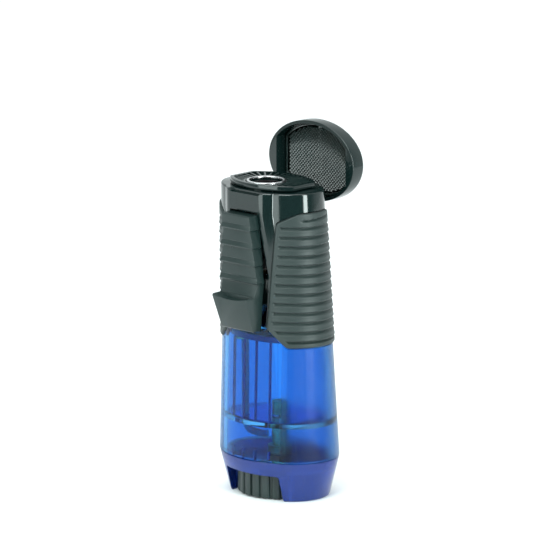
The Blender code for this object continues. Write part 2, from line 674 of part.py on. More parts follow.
def make_burner():
    """Mixing tube and cup, jet, flame disc, the hose that feeds it, and the ring on the deck."""
    top = DECK_TOP_Z - BURNER_DROP
    inner = BURNER_RADIUS - BURNER_WALL
    cup_low = RIM_Z - 0.0113
    tube_low = TANK_TOP_Z + 0.0132
    burner = turned("burner_tube", (
        (BURNER_RADIUS, top), (BURNER_RADIUS, cup_low), (MIXER_RADIUS, cup_low - 0.0025),
        (MIXER_RADIUS, tube_low), (MIXER_RADIUS - 0.0006, tube_low),
        (MIXER_RADIUS - 0.0006, cup_low - 0.0022), (inner, cup_low + 0.0003), (inner, top),
    ), 0, BURNER_Y, STEEL, steps=32)
    spark_z = RIM_Z - 0.0066
    air_z = TANK_TOP_Z + 0.0182
    cut(
        burner,
        rod("spark_hole", 0.0006, (0, BURNER_Y + 0.002, spark_z),
            (0, BURNER_Y + 0.006, spark_z), sides=12),
        rod("air_holes", 0.0006, (-0.004, BURNER_Y, air_z), (0.004, BURNER_Y, air_z), sides=12),
    )
    jet_low = tube_low - 0.0050
    turned("jet_nozzle", (
        (JET_RADIUS, tube_low + 0.0030), (JET_RADIUS, tube_low - GAP), (0.0018, tube_low - GAP),
        (0.0018, tube_low - 0.0020), (0.0008, tube_low - 0.0020), (0.0008, jet_low),
        (0.0003, jet_low), (0.0003, tube_low + 0.0030),
    ), 0, BURNER_Y, BRASS, steps=16)
    disc_z = RIM_Z - 0.0084
    disc = rod("flame_disc", inner - GAP, (0, BURNER_Y, disc_z), (0, BURNER_Y, disc_z + 0.0006), STEEL)
    for number, (x, y) in enumerate([(0.0, 0.0), *circle(0.0018, 6)]):
        cut(disc, rod(f"flame_port_{number}", 0.0004, (x, BURNER_Y + y, disc_z - 0.001),
                      (x, BURNER_Y + y, disc_z + 0.002), sides=8))
    turned("nozzle_ring", (
        (0.0048, DECK_TOP_Z + 0.0002), (0.0048, DECK_TOP_Z - 0.00025),
        (0.00415, DECK_TOP_Z - 0.00025), (0.00415, DECK_TOP_Z + 0.0002),
    ), 0, BURNER_Y, STEEL, steps=32)
    barb_z = TANK_TOP_Z + 0.0009
    route = smooth_route((
        (VALVE_X + 0.0033, VALVE_Y, barb_z),
        (VALVE_X + 0.0045, VALVE_Y, barb_z + 0.0002),
        (-0.0004, BURNER_Y, TANK_TOP_Z + 0.0040),
        (0, BURNER_Y, jet_low - 0.0015),
        (0, BURNER_Y, jet_low - GAP),
    ), steps=3)
    tube("gas_hose", route, 0.0008, HOSE_CLEAR)


def make_igniter():
    """Piezo unit with its plunger and spring, the lead, and the electrode in its insulator."""
    low = TANK_TOP_Z + GAP
    body = box("piezo_body", (PIEZO_X[0], PIEZO_Y[0], low),
               (PIEZO_X[1], PIEZO_Y[1], low + PIEZO_HEIGHT), CHASSIS_BLACK)
    x = (PIEZO_X[0] + PIEZO_X[1]) / 2
    y = (PIEZO_Y[0] + PIEZO_Y[1]) / 2
    bore = PLUNGER_HALF + GAP
    cut(body, box("piezo_bore", (x - bore, y - bore, low + 0.0017),
                  (x + bore, y + bore, low + PIEZO_HEIGHT + 0.001)))
    plunger_low = low + PIEZO_HEIGHT - 0.0030
    box("piezo_plunger", (x - PLUNGER_HALF, y - PLUNGER_HALF, plunger_low),
        (x + PLUNGER_HALF, y + PLUNGER_HALF, ARM_Z - GAP), CERAMIC)
    coil("piezo_spring", (x, y), "Z", 0.00095, 0.0002, 6, low + 0.0020, plunger_low - GAP, STEEL)
    pillar_y = BURNER_Y + BURNER_RADIUS + 0.0014
    pillar_z = TANK_TOP_Z + 0.0170
    spark_z = RIM_Z - 0.0066
    turned("electrode_insulator", (
        (0.0008, spark_z - 0.0012), (0.0008, pillar_z), (0.0005, pillar_z),
        (0.0005, spark_z - 0.0012),
    ), 0, pillar_y, CERAMIC, steps=16)
    bend = [
        (0, pillar_y - 0.0008 * (1 - math.cos(a)), spark_z - 0.0008 * (1 - math.sin(a)))
        for a in (math.pi / 2 * step / 4 for step in range(5))
    ]
    tube("electrode", [(0, pillar_y, pillar_z - 0.0003), *bend, (0, BURNER_Y + 0.0012, spark_z)],
         0.0002, STEEL)
    lead_z = pillar_z + 0.0006
    tube("ignition_lead", smooth_route((
        (x, PIEZO_Y[1] + 0.0007, low + PIEZO_HEIGHT - 0.0040),
        (x, PIEZO_Y[1] + 0.0007, low + PIEZO_HEIGHT - 0.0010),
        (x - 0.0012, PIEZO_Y[1] + 0.0005, lead_z),
        (0.0030, pillar_y + 0.0003, lead_z),
        (0.0014, pillar_y, lead_z),
    ), steps=3), 0.0003, GRIP_RUBBER)


def make_frame():
    """Inner frame behind the burner, with a fork and a ring that hold the mixing tube."""
    low = TANK_TOP_Z
    ring_z = (low + 0.0140, low + 0.0165)
    high = low + 0.0220
    frame = box("inner_frame", (-0.0042, 0.0060, low + GAP), (0.0042, 0.0070, high), CHASSIS_BLACK)
    ring = rod("frame_ring", 0.0036, (0, BURNER_Y, ring_z[0]), (0, BURNER_Y, ring_z[1]))
    bore = rod("frame_bore", MIXER_RADIUS + GAP, (0, BURNER_Y, ring_z[0] - 0.001),
               (0, BURNER_Y, ring_z[1] + 0.001))
    arms = [
        box(f"frame_arm_{number}", (first, BURNER_Y + 0.0022, ring_z[0] + 0.0001),
            (last, 0.0062, ring_z[1] - 0.0001))
        for number, (first, last) in enumerate(((-0.0031, -0.0015), (0.0015, 0.0031)))
    ]
    join(frame, ring, *arms)
    cut(frame, bore)
    latch = box("lid_latch", (-0.0016, 0.0048, low + 0.0190), (0.0016, 0.0057, low + 0.0270), STEEL)
    nose_top = HINGE_Z - KNUCKLE_RADIUS - 0.0002
    stalk = box("latch_stalk", (-0.0012, 0.0049, low + 0.0265), (0.0012, 0.0056, nose_top))
    nose = box("latch_nose", (-0.0011, 0.0050, nose_top - 0.0010), (0.0011, 0.0064, nose_top + 0.0001))
    join(latch, stalk, nose)


def make_deck():
    """Oval deck round the burner, cropped at both ends, with a collar through the roof."""
    deck = extruded("top_deck", cropped_oval(DECK_HALF_WIDTH, DECK_HALF_DEPTH, DECK_FLAT_X),
                    "Z", DECK_Z, DECK_TOP_Z, GLOSS_BLACK)
    collar = rod("deck_collar", BURNER_RADIUS + 0.0015, (0, BURNER_Y, RIM_Z - 0.0026),
                 (0, BURNER_Y, DECK_Z + 0.0002), sides=32)
    hole = rod("deck_hole", BURNER_RADIUS + 0.0006, (0, BURNER_Y, RIM_Z - 0.004),
               (0, BURNER_Y, DECK_TOP_Z + 0.001), sides=32)
    counterbore = rod("ring_seat", 0.0051, (0, BURNER_Y, DECK_TOP_Z - 0.00055),
                      (0, BURNER_Y, DECK_TOP_Z + 0.001), sides=32)
    notch_front = HINGE_Y - 0.0009
    notch = box("deck_notch", (-0.0038, notch_front, DECK_Z - 0.001), (0.0038, 0.02, DECK_TOP_Z + 0.001))
    join(deck, collar)
    cut(deck, hole, counterbore, notch)


def make_lid():
    """Flip lid with a heat liner. Drawn closed, then swung back about the hinge pin."""
    top = LID_Z + LID_HEIGHT
    rings = [
        oval(LID_HALF_WIDTH - inset, LID_HALF_DEPTH - inset, LID_MIDDLE_Y, z)
        for z, inset in (
            (LID_Z, 0.0), (top - 0.0012, 0.0), (top - 0.0005, 0.0003),
            (top - 0.0001, 0.0009), (top, 0.0018),
        )
    ]
    lid = loft("lid_shell", rings, GLOSS_BLACK)
    inside = (LID_HALF_WIDTH - LID_WALL, LID_HALF_DEPTH - LID_WALL)
    recess = extruded(
        "lid_recess", cropped_oval(*inside, LID_FLAT_X, LID_MIDDLE_Y), "Z",
        LID_Z - 0.001, top - LID_ROOF,
    )
    near, far = KNUCKLE_X
    cut(lid, recess)
    hidden = [recess]
    for side, word in ((-1, "left"), (1, "right")):
        ends = sorted((side * near, side * far))
        arm = box(f"lid_arm_{word}", (ends[0] + 0.0001, HINGE_Y - 0.0006, HINGE_Z),
                  (ends[1] - 0.0001, HINGE_Y + 0.0006, LID_Z + 0.0004))
        start, end = ((x, HINGE_Y, HINGE_Z) for x in ends)
        knuckle = rod(f"knuckle_{word}", KNUCKLE_RADIUS, start, end)
        join(lid, arm, knuckle)
        hidden += [arm, knuckle]
    hole = rod("knuckle_hole", PIN_RADIUS + GAP, (-far - 0.001, HINGE_Y, HINGE_Z),
               (far + 0.001, HINGE_Y, HINGE_Z), sides=16)
    cut(lid, hole)
    liner_z = top - LID_ROOF - GAP - LINER_THICKNESS
    liner_outline = cropped_oval(inside[0] - GAP, inside[1] - GAP, LID_FLAT_X - GAP, LID_MIDDLE_Y)
    liner = extruded(
        "lid_liner", liner_outline, "Z", liner_z, liner_z + LINER_THICKNESS, STEEL,
    )
    axis = bpy.data.objects.new("lid_axis", None)
    parts.objects.link(axis)
    axis.location = (0.0, HINGE_Y, HINGE_Z)
    axis.rotation_euler = (math.radians(-LID_OPEN_DEG), 0.0, 0.0)
    for piece in (lid, liner, hole, *hidden):
        piece.data.transform(Matrix.Translation((0.0, -HINGE_Y, -HINGE_Z)))
        piece.parent = axis


def make_hinge():
    rod("hinge_pin", PIN_RADIUS, (-CHEEK_X + 0.0001, HINGE_Y, HINGE_Z),
        (CHEEK_X - 0.0001, HINGE_Y, HINGE_Z), STEEL, sides=16)
    reach = KNUCKLE_X[0] - GAP
    coil("lid_spring", (HINGE_Y, HINGE_Z), "X", 0.0013, 0.0002, 3, -reach, reach, STEEL)


def make_base():
    """Base with two feet and a plate that the adjuster wheel turns under."""
    wall = -BASE_WALL
    base = body_solid("base", ((0.0, 0, 0), (CREASE_Z - GAP / 2, 0, 0)), DARK_BLUE)
    low, high = BASE_PLATE_Z
    upper = body_solid("base_upper", (
        (high, wall, wall), (CREASE_Z, wall, wall), (CREASE_Z + 0.002, wall, wall),
    ))
    well = rod("wheel_well", WHEEL_RADIUS + 0.0004, (0, FOOT_Y, -0.002), (0, FOOT_Y, low), sides=48)
    hub_hole = rod("hub_hole", HUB_RADIUS + GAP, (0, FOOT_Y, low - 0.002), (0, FOOT_Y, high + 0.002))
    half = CUTOUT_HALF_WIDTH
    cutout = box("finger_cutout", (-half, -0.05, -0.002), (half, 0.05, low - 0.0001))
    cut(base, upper, well, hub_hole, cutout)


def make_adjuster():
    """Fluted flame-height wheel with a hub, and the splined collar above it."""
    outline = []
    for x, y in circle(1.0, WHEEL_FLUTES * 4):
        number = len(outline)
        radius = WHEEL_RADIUS - (FLUTE_DEPTH if number % 4 == 0 else 0.0)
        outline.append((radius * x, radius * y + FOOT_Y))
    top = BASE_PLATE_Z[0] - GAP
    hub_top = BASE_PLATE_Z[1] + 0.0015
    wheel = extruded("adjuster_wheel", outline, "Z", WHEEL_BOTTOM_Z, top, TRIGGER_BLACK)
    recess = rod("wheel_recess", WHEEL_RADIUS - WHEEL_RIM, (0, FOOT_Y, -0.001), (0, FOOT_Y, WHEEL_RECESS_Z))
    hub = rod("wheel_hub", HUB_RADIUS, (0, FOOT_Y, top - 0.0005), (0, FOOT_Y, hub_top))
    bore = rod("wheel_bore", 0.0019, (0, FOOT_Y, -0.002), (0, FOOT_Y, hub_top + 0.001))
    cut(wheel, recess)
    join(wheel, hub)
    cut(wheel, bore)
    set_origin(wheel, (0, FOOT_Y, 0))
    low = hub_top + GAP
    high = low + 0.0020
    collar = ((HUB_RADIUS, high), (HUB_RADIUS, low), (0.0019, low), (0.0019, high))
    turned("adjuster_collar", collar, 0, FOOT_Y, BRASS)


def make_refill():
    """Refill and metering valve under the tank's floor, and the tube that feeds the gas valve."""
    under = TANK_FLOOR_Z - TANK_FLOOR - 2 * GAP
    top = TANK_FLOOR_Z + 0.0033
    turned("refill_valve", (
        (0.0020, top), (0.0020, under), (0.0030, under), (0.0030, under - 0.0010),
        (0.0020, under - 0.0010), (0.0020, 0.0126), (0.0016, 0.0126), (0.0016, 0.0046),
        (0.0012, 0.0046), (0.0012, top - 0.0030), (0.0005, top - 0.0030), (0.0005, top),
    ), 0, REFILL_Y, BRASS, steps=20)
    turned("refill_stem", (
        (0.0, 0.0120), (0.0009, 0.0120), (0.0009, 0.0110), (0.0006, 0.0110),
        (0.0006, 0.0041), (0.0, 0.0041),
    ), 0, REFILL_Y, STEEL, closed=False, steps=16)
    coil("refill_spring", (0, REFILL_Y), "Z", 0.00085, 0.00015, 5, 0.0122, top - 0.0032, STEEL, per_turn=8)
    start = TANK_LID_Z - TANK_LID_THICKNESS - GAP - 0.0008 - GAP
    route = smooth_route((
        (VALVE_X, VALVE_Y, TANK_FLOOR_Z - 0.0022),
        (VALVE_X + 0.0008, VALVE_Y + 0.0008, TANK_FLOOR_Z - 0.0042),
        (VALVE_X + 0.0027, VALVE_Y + 0.0026, TANK_FLOOR_Z - 0.0052),
        (-0.0023, REFILL_Y - 0.0018, TANK_FLOOR_Z - 0.0052),
    ), steps=3)
    tube("fuel_tube", [(VALVE_X, VALVE_Y, start), *route], 0.0009, HOSE_CLEAR)


seats = make_grips()
make_upper_housing(seats)
make_trigger()
make_tank(seats)
make_tank_lid()
make_valve()
make_burner()
make_igniter()
make_frame()
make_deck()
make_lid()
make_hinge()
make_base()
make_adjuster()
make_refill()

whole = bpy.data.objects.new("lighter", None)
parts.objects.link(whole)
whole.location = (0.0, -MIDDLE_Y, 0.0)
for piece in [*parts.objects, *cutters.objects]:
    if piece.parent is None and piece is not whole:
        piece.parent = whole
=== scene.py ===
"""Looks of a refillable jet-flame lighter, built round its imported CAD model.

Metres, +Z up. The trigger faces -Y, the lid's hinge is at +Y, and the lid stands open.
"""

import math

import bmesh
import bpy
from mathutils import Matrix, Vector
from mathutils.kdtree import KDTree


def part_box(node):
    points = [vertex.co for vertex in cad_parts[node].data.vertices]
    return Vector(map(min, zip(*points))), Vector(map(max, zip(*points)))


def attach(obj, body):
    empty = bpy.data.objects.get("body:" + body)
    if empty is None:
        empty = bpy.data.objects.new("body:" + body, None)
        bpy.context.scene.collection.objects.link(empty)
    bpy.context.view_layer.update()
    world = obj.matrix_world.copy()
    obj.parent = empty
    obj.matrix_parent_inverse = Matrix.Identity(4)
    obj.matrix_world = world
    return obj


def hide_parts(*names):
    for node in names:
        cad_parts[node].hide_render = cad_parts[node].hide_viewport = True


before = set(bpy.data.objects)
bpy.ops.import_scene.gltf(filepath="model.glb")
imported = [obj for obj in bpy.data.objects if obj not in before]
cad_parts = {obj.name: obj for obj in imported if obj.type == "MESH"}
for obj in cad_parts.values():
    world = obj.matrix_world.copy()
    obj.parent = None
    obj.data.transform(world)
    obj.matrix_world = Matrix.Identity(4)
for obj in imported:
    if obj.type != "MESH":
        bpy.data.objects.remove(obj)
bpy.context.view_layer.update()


# Fuel tank: a clear blue acrylic moulding, open at the top until its plug is glued in. Its
# front window is polished between two fine score lines, and the ends are lightly frosted and
# coloured a deeper blue, which is painted shade of the side walls seen at a glancing angle.

GAP = 0.0003
ring_low, ring_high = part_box("nozzle_ring")
nozzle_y = (ring_low.y + ring_high.y) / 2
axis_y = nozzle_y + 0.0022
crease_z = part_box("fuel_tank")[0].z - GAP / 2
shoulder_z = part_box("fuel_tank")[1].z + GAP / 2
rim_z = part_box("upper_housing")[1].z

# Height, half width, half depth and middle of the body's oval, from the feet up to the rim.
BODY = (
    (0.0, 0.0135, 0.0108, axis_y + 0.00285),
    (crease_z, 0.0165, 0.0127, axis_y + 0.0026),
    (shoulder_z, 0.0153, 0.0110, axis_y + 0.0017),
    (rim_z, 0.01465, 0.0098, axis_y),
)
BODY_STEPS = 360

TANK_WALL = 0.0018
TANK_FLOOR_Z = crease_z + 0.0094
TANK_FLOOR = 0.0010
FLOOR_FILLET = 0.0007
WINDOW_X = 0.0095
SCORE_LINES = (WINDOW_X, 0.0130, 0.0134)
SCORE_DEPTH = 0.00012
SCORE_HALF_WIDTH = 0.0002

GRIP_TOP_Z = rim_z - 0.0048
GRIP_SHOULDER_X = 0.0137
GRIP_FRONT_TOP_X = 0.0088
GRIP_FRONT_DROP = 0.0026
GRIP_FRONT_BOTTOM_X = 0.0062
GRIP_CHAMFER_X = 0.0110
GRIP_FOOT_Z = shoulder_z - 0.0046
GRIP_SINK = 0.0007
GRIP_PROUD = 0.0005


def body_oval(z):
    """Half width, half depth and middle of the body at height z."""
    pairs = list(zip(BODY, BODY[1:]))
    low, high = next((pair for pair in pairs if z <= pair[1][0]), pairs[-1])
    share = (z - low[0]) / (high[0] - low[0])
    return [below + share * (above - below) for below, above in zip(low[1:], high[1:])]


def on_body(turn, z, out=0.0):
    """The point at an angle from the front, moved outwards from the body's side by out."""
    half_width, half_depth, middle = body_oval(z)
    x = (half_width + out) * math.sin(turn)
    return Vector((x, middle - (half_depth + out) * math.cos(turn), z))


def body_ring(z, out=0.0, steps=BODY_STEPS):
    return [on_body(2 * math.pi * step / steps, z, out) for step in range(steps)]


def new_piece(name, shape):
    bmesh.ops.recalc_face_normals(shape, faces=shape.faces)
    mesh = bpy.data.meshes.new(name)
    shape.to_mesh(mesh)
    shape.free()
    piece = bpy.data.objects.new(name, mesh)
    bpy.context.scene.collection.objects.link(piece)
    return piece


def loft(name, rings):
    """A closed solid through rings of points, one after another, with its ends filled."""
    shape = bmesh.new()
    layers = [[shape.verts.new(point) for point in ring] for ring in rings]
    shape.faces.new(layers[0])
    shape.faces.new(layers[-1])
    for below, above in zip(layers, layers[1:]):
        for i in range(len(below)):
            j = (i + 1) % len(below)
            shape.faces.new((below[i], below[j], above[j], above[i]))
    return new_piece(name, shape)


def body_solid(name, levels, steps=BODY_STEPS):
    """A solid that follows the body, through levels of height and outward offset."""
    return loft(name, [body_ring(z, out, steps) for z, out in levels])


def prism(name, outline, axis, low, high):
    """A flat outline in YZ, XZ or XY, carried along X, Y or Z from low to high."""
    place = {
        "X": lambda a, b, c: (c, a, b),
        "Y": lambda a, b, c: (a, c, b),
        "Z": lambda a, b, c: (a, b, c),
    }[axis]
    return loft(name, [[place(a, b, along) for a, b in outline] for along in (low, high)])


def circle(radius, steps, middle=(0.0, 0.0)):
    angles = [2 * math.pi * step / steps for step in range(steps)]
    return [(middle[0] + radius * math.cos(a), middle[1] + radius * math.sin(a)) for a in angles]


def rounded(outline, radii, steps=8):
    """Replace each corner of an outline with an arc of its own radius."""
    result = []
    for i, radius in enumerate(radii):
        corner = Vector(outline[i])
        back = (Vector(outline[i - 1]) - corner).normalized()
        ahead = (Vector(outline[(i + 1) % len(outline)]) - corner).normalized()
        if radius == 0:
            result.append(tuple(corner))
            continue
        half = back.angle(ahead) / 2
        middle = corner + (back + ahead).normalized() * radius / math.sin(half)
        first = corner + back * radius / math.tan(half) - middle
        last = corner + ahead * radius / math.tan(half) - middle
        for step in range(steps + 1):
            spoke = first.slerp(last, step / steps).normalized()
            result.append(tuple(middle + spoke * radius))
    return result


def settle(piece):
    """Turn the modifiers' result into the piece's own mesh."""
    seen = piece.evaluated_get(bpy.context.evaluated_depsgraph_get())
    mesh = bpy.data.meshes.new_from_object(seen)
    piece.modifiers.clear()
    piece.data = mesh
    return piece


def combine(piece, operation, *tools):
    for tool in tools:
        step = piece.modifiers.new(tool.name, "BOOLEAN")
        step.operation = operation
        step.solver = "EXACT"
        step.object = tool
    settle(piece)
    for tool in tools:
        bpy.data.objects.remove(tool, do_unlink=True)
    return piece


def bevel(piece, width, segments=3, angle=35):
    step = piece.modifiers.new("edges", "BEVEL")
    step.width = width
    step.segments = segments
    step.limit_method = "ANGLE"
    step.angle_limit = math.radians(angle)
    return settle(piece)


def smooth(piece, angle=28):
    """Weld what the Booleans left, and shade smooth except at real corners."""
    shape = bmesh.new()
    shape.from_mesh(piece.data)
    bmesh.ops.remove_doubles(shape, verts=shape.verts, dist=0.0000005)
    bmesh.ops.dissolve_degenerate(shape, edges=shape.edges, dist=0.0000005)
    shape.to_mesh(piece.data)
    shape.free()
    piece.data.shade_smooth()
    piece.data.set_sharp_from_angle(angle=math.radians(angle))
    return piece


def fit(piece, material, body, slot, *nodes):
    """Give a finished piece its material, and the CAD body and nodes it stands for. The slot argument is
    not used.
    """
    piece.data.materials.clear()
    piece.data.materials.append(material)
    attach(piece, body)
    if nodes:
        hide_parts(*nodes)
    return piece


def grip_outline(grow, side):
    """The side grip seen from the front, for side +1 or -1."""
    far = 2 * GRIP_SHOULDER_X
    outline = [
        (far, GRIP_TOP_Z + grow),
        (GRIP_SHOULDER_X, GRIP_TOP_Z + grow),
        (GRIP_FRONT_TOP_X - grow, GRIP_TOP_Z + grow - GRIP_FRONT_DROP),
        (GRIP_FRONT_BOTTOM_X - grow, shoulder_z),
        (GRIP_CHAMFER_X - grow, GRIP_FOOT_Z - grow),
        (far, GRIP_FOOT_Z - grow),
    ]
    points = rounded(outline, (0, 0.0030, 0.0014, 0.0004, 0.0004, 0))
    return [(side * across, up) for across, up in points]


def grip_seats():
    """Cutters for the shallow seats that the two grips lie in."""
    sunk = -GRIP_SINK - GAP
    seats = []
    for side in (-1, 1):
        seat = prism("seat", grip_outline(GAP, side), "Y", -0.03, 0.03)
        core = body_solid("seat_core", ((shoulder_z - 0.02, sunk), (shoulder_z, sunk), (rim_z, sunk)))
        seats.append(combine(seat, "DIFFERENCE", core))
    return seats


class Link:
    """A socket in a node tree, so that maths on it is written as plain Python."""

    def __init__(self, tree, socket):
        self.tree = tree
        self.socket = socket

    def node(self, kind, settings=None, inputs=None, output=0):
        """Add a node: its settings, then its inputs as values or links."""
        made = self.tree.nodes.new(kind)
        for name, value in (settings or {}).items():
            setattr(made, name, value)
        for name, value in (inputs or {}).items():
            if isinstance(value, Link):
                self.tree.links.new(value.socket, made.inputs[name])
            else:
                made.inputs[name].default_value = value
        return Link(self.tree, made.outputs[output]) if made.outputs else None

    def maths(self, operation, *values):
        return self.node("ShaderNodeMath", {"operation": operation}, dict(enumerate(values)))

    def __add__(self, other):
        return self.maths("ADD", self, other)

    def __sub__(self, other):
        return self.maths("SUBTRACT", self, other)

    def __rsub__(self, other):
        return self.maths("SUBTRACT", other, self)

    def __mul__(self, other):
        return self.maths("MULTIPLY", self, other)

    def __truediv__(self, other):
        return self.maths("DIVIDE", self, other)

    __radd__ = __add__
    __rmul__ = __mul__

    def ramp(self, low, high):
        """0 below low and 1 above high, with a smooth rise between."""
        ends = {"Value": self, "From Min": low, "From Max": high}
        return self.node("ShaderNodeMapRange", {"interpolation_type": "SMOOTHSTEP"}, ends)

    def mix(self, low, high):
        """A colour between two colours."""
        return self.node("ShaderNodeMix", {"data_type": "RGBA"}, {0: self, 6: low, 7: high}, 2)

    def noise(self, scale, detail=2.0):
        return self.node("ShaderNodeTexNoise", None, {"Vector": self, "Scale": scale, "Detail": detail})

    def part(self, index):
        return self.node("ShaderNodeSeparateXYZ", None, {0: self}, index)

    def bump(self, distance, strength=1.0):
        return self.node("ShaderNodeBump", None, {
            "Height": self, "Distance": distance, "Strength": strength,
        })


def new_material(name):
    made = bpy.data.materials.new(name)
    made.use_nodes = True
    made.node_tree.nodes.clear()
    place = made.node_tree.nodes.new("ShaderNodeTexCoord")
    return made, Link(made.node_tree, place.outputs["Object"])


def surface(place, inputs):
    shader = place.node("ShaderNodeBsdfPrincipled", None, inputs)
    place.node("ShaderNodeOutputMaterial", None, {"Surface": shader})


def scored_ring(z):
    """The outside of the tank at height z, with its score lines cut in."""
    ring = []
    for step in range(2 * BODY_STEPS):
        turn = math.pi * step / BODY_STEPS
        x = abs(on_body(turn, z).x)
        near = min(abs(x - line) for line in SCORE_LINES)
        ring.append(on_body(turn, z, -SCORE_DEPTH * max(0.0, 1 - near / SCORE_HALF_WIDTH)))
    return ring


tank = loft("tank", [scored_ring(crease_z + GAP / 2), scored_ring(shoulder_z - GAP / 2)])
chamber = body_solid("chamber", (
    (TANK_FLOOR_Z, -TANK_WALL - FLOOR_FILLET),
    (TANK_FLOOR_Z + FLOOR_FILLET * 0.3, -TANK_WALL - FLOOR_FILLET * 0.3),
    (TANK_FLOOR_Z + FLOOR_FILLET, -TANK_WALL),
    (shoulder_z, -TANK_WALL),
    (shoulder_z + 0.002, -TANK_WALL),
))
skirt = body_solid("skirt", (
    (crease_z - 0.002, -TANK_WALL), (crease_z, -TANK_WALL),
    (TANK_FLOOR_Z - TANK_FLOOR, -TANK_WALL),
))
refill_y = BODY[0][3]
tube_low, tube_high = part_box("valve_stem")
valve_x, valve_y = (tube_low.x + tube_high.x) / 2, (tube_low.y + tube_high.y) / 2
refill_hole = prism("refill_hole", circle(0.0023, 48, (0.0, refill_y)), "Z",
                    TANK_FLOOR_Z - 0.003, TANK_FLOOR_Z + 0.002)
tube_hole = prism("tube_hole", circle(0.0012, 32, (valve_x, valve_y)), "Z",
                  TANK_FLOOR_Z - 0.003, TANK_FLOOR_Z + 0.002)
combine(tank, "DIFFERENCE", chamber, skirt, refill_hole, tube_hole, *grip_seats())
smooth(tank, 20)

clear_blue, place = new_material("clear_blue")
# Mask of the ends beyond the window: real frosting in the roughness and bump, painted shade in the colour.
frosted_and_shaded_ends = place.part(0).maths("ABSOLUTE", place.part(0)).ramp(WINDOW_X, WINDOW_X + 0.0003)
sparkle = place.noise(5200.0, 3.0)
swirl = place.noise(90.0, 2.0)
surface(place, {
    # Deeper blue on the ends is painted shade of the side walls at a glancing angle, not a different tint.
    "Base Color": frosted_and_shaded_ends.mix(
        swirl.mix((0.050, 0.36, 0.80, 1), (0.075, 0.43, 0.86, 1)),
        swirl.mix((0.034, 0.19, 0.52, 1), (0.052, 0.26, 0.62, 1)),
    ),
    "Roughness": 0.03 + frosted_and_shaded_ends * (0.12 + sparkle * 0.16),
    "IOR": 1.30,
    "Transmission Weight": 1.0,
    "Normal": (sparkle * frosted_and_shaded_ends).bump(0.00007, 0.7),
})
fit(tank, clear_blue, "housing", "clear_blue", "fuel_tank")


# Stiffening ribs: thin fins moulded inside the tank's front wall, from the floor to just
# under the plug, with short stubs of the same fins in the open skirt below.

RIB_X = 0.0019
RIB_SPACING = 0.0038
RIB_COUNT = 4
RIB_WIDTH = 0.00022
RIB_DEPTH = 0.0007
RIB_TOP_Z = shoulder_z - 0.0042
STUB_HEIGHT = 0.0020


def grown(name, sizes, material, build):
    """Run a Geometry Nodes tree, with its sizes as named inputs, and keep the plain mesh."""
    tree = bpy.data.node_groups.new(name, "GeometryNodeTree")
    tree.interface.new_socket("Geometry", in_out="INPUT", socket_type="NodeSocketGeometry")
    tree.interface.new_socket("Geometry", in_out="OUTPUT", socket_type="NodeSocketGeometry")
    sockets = {}
    for key, value in sizes.items():
        kind = "NodeSocketInt" if isinstance(value, int) else "NodeSocketFloat"
        sockets[key] = tree.interface.new_socket(key, in_out="INPUT", socket_type=kind)
    entry = tree.nodes.new("NodeGroupInput")
    links = {key: Link(tree, entry.outputs[key]) for key in sizes}
    whole = build(Link(tree, entry.outputs["Geometry"]), **links)
    whole = whole.node("GeometryNodeRealizeInstances", None, {"Geometry": whole})
    whole = whole.node("GeometryNodeSetMaterial", None, {"Geometry": whole, "Material": material})
    whole.node("NodeGroupOutput", None, {"Geometry": whole})
    return tree, sockets


def grow(piece, tree, sockets, sizes):
    """Put a tree on a piece with its sizes, and turn the result into the piece's mesh."""
    step = piece.modifiers.new(tree.name, "NODES")
    step.node_group = tree
    for key, value in sizes.items():
        step[sockets[key].identifier] = value
    return settle(piece)


def empty_piece(name):
    return new_piece(name, bmesh.new())


def fins(start, count, spacing, first, width, depth, low, height):
    """Upright fins in a row, pushed forwards until each lies against the tank's front wall."""
    row = start.node("GeometryNodeMeshLine", None, {
        "Count": count,
        "Start Location": start.node("ShaderNodeCombineXYZ", None, {0: first, 2: low + height / 2}),
        "Offset": start.node("ShaderNodeCombineXYZ", None, {0: spacing}),
    })
    fin = start.node("GeometryNodeMeshCube", None, {
        "Size": start.node("ShaderNodeCombineXYZ", None, {0: width, 1: depth, 2: height}),
        "Vertices X": 2, "Vertices Y": 2, "Vertices Z": 12,
    })
    standing = start.node("GeometryNodeInstanceOnPoints", None, {"Points": row, "Instance": fin})
    real = start.node("GeometryNodeRealizeInstances", None, {"Geometry": standing})
    spot = start.node("GeometryNodeInputPosition")
    x, z = spot.part(0), spot.part(2)
    share = (z - crease_z) / (shoulder_z - crease_z)
    low_oval, high_oval = BODY[1], BODY[2]
    half_width, half_depth, middle = (
        low_oval[i] + share * (high_oval[i] - low_oval[i]) for i in (1, 2, 3)
    )
    inside = half_width - TANK_WALL
    across = x / inside
    bow = (1 - across * across).maths("SQRT", 1 - across * across)
    wall_y = middle - (half_depth - TANK_WALL) * bow
    shift = start.node("ShaderNodeCombineXYZ", None, {1: wall_y + depth * 0.42})
    return start.node("GeometryNodeSetPosition", None, {"Geometry": real, "Offset": shift})


fin_blue, place = new_material("fin_blue")
surface(place, {
    "Base Color": place.noise(400.0).mix((0.010, 0.045, 0.22, 1), (0.02, 0.07, 0.30, 1)),
    "Roughness": 0.2 + place.noise(900.0) * 0.1,
})
for name, low_z, height in (
    ("tank_fins", TANK_FLOOR_Z + 0.0003, RIB_TOP_Z - TANK_FLOOR_Z),
    ("skirt_fins", crease_z + 0.0003, STUB_HEIGHT),
):
    sizes = {
        "count": RIB_COUNT, "spacing": RIB_SPACING, "first": RIB_X - RIB_SPACING * RIB_COUNT / 2,
        "width": RIB_WIDTH, "depth": RIB_DEPTH, "low": low_z, "height": height,
    }
    tree, sockets = grown(name, sizes, fin_blue, fins)
    fit(grow(empty_piece(name), tree, sockets, sizes), fin_blue, "housing", "clear_blue")


# Plug and seal: a dark blue plug glued into the tank's mouth over a black rubber seal. It
# carries the gas valve.

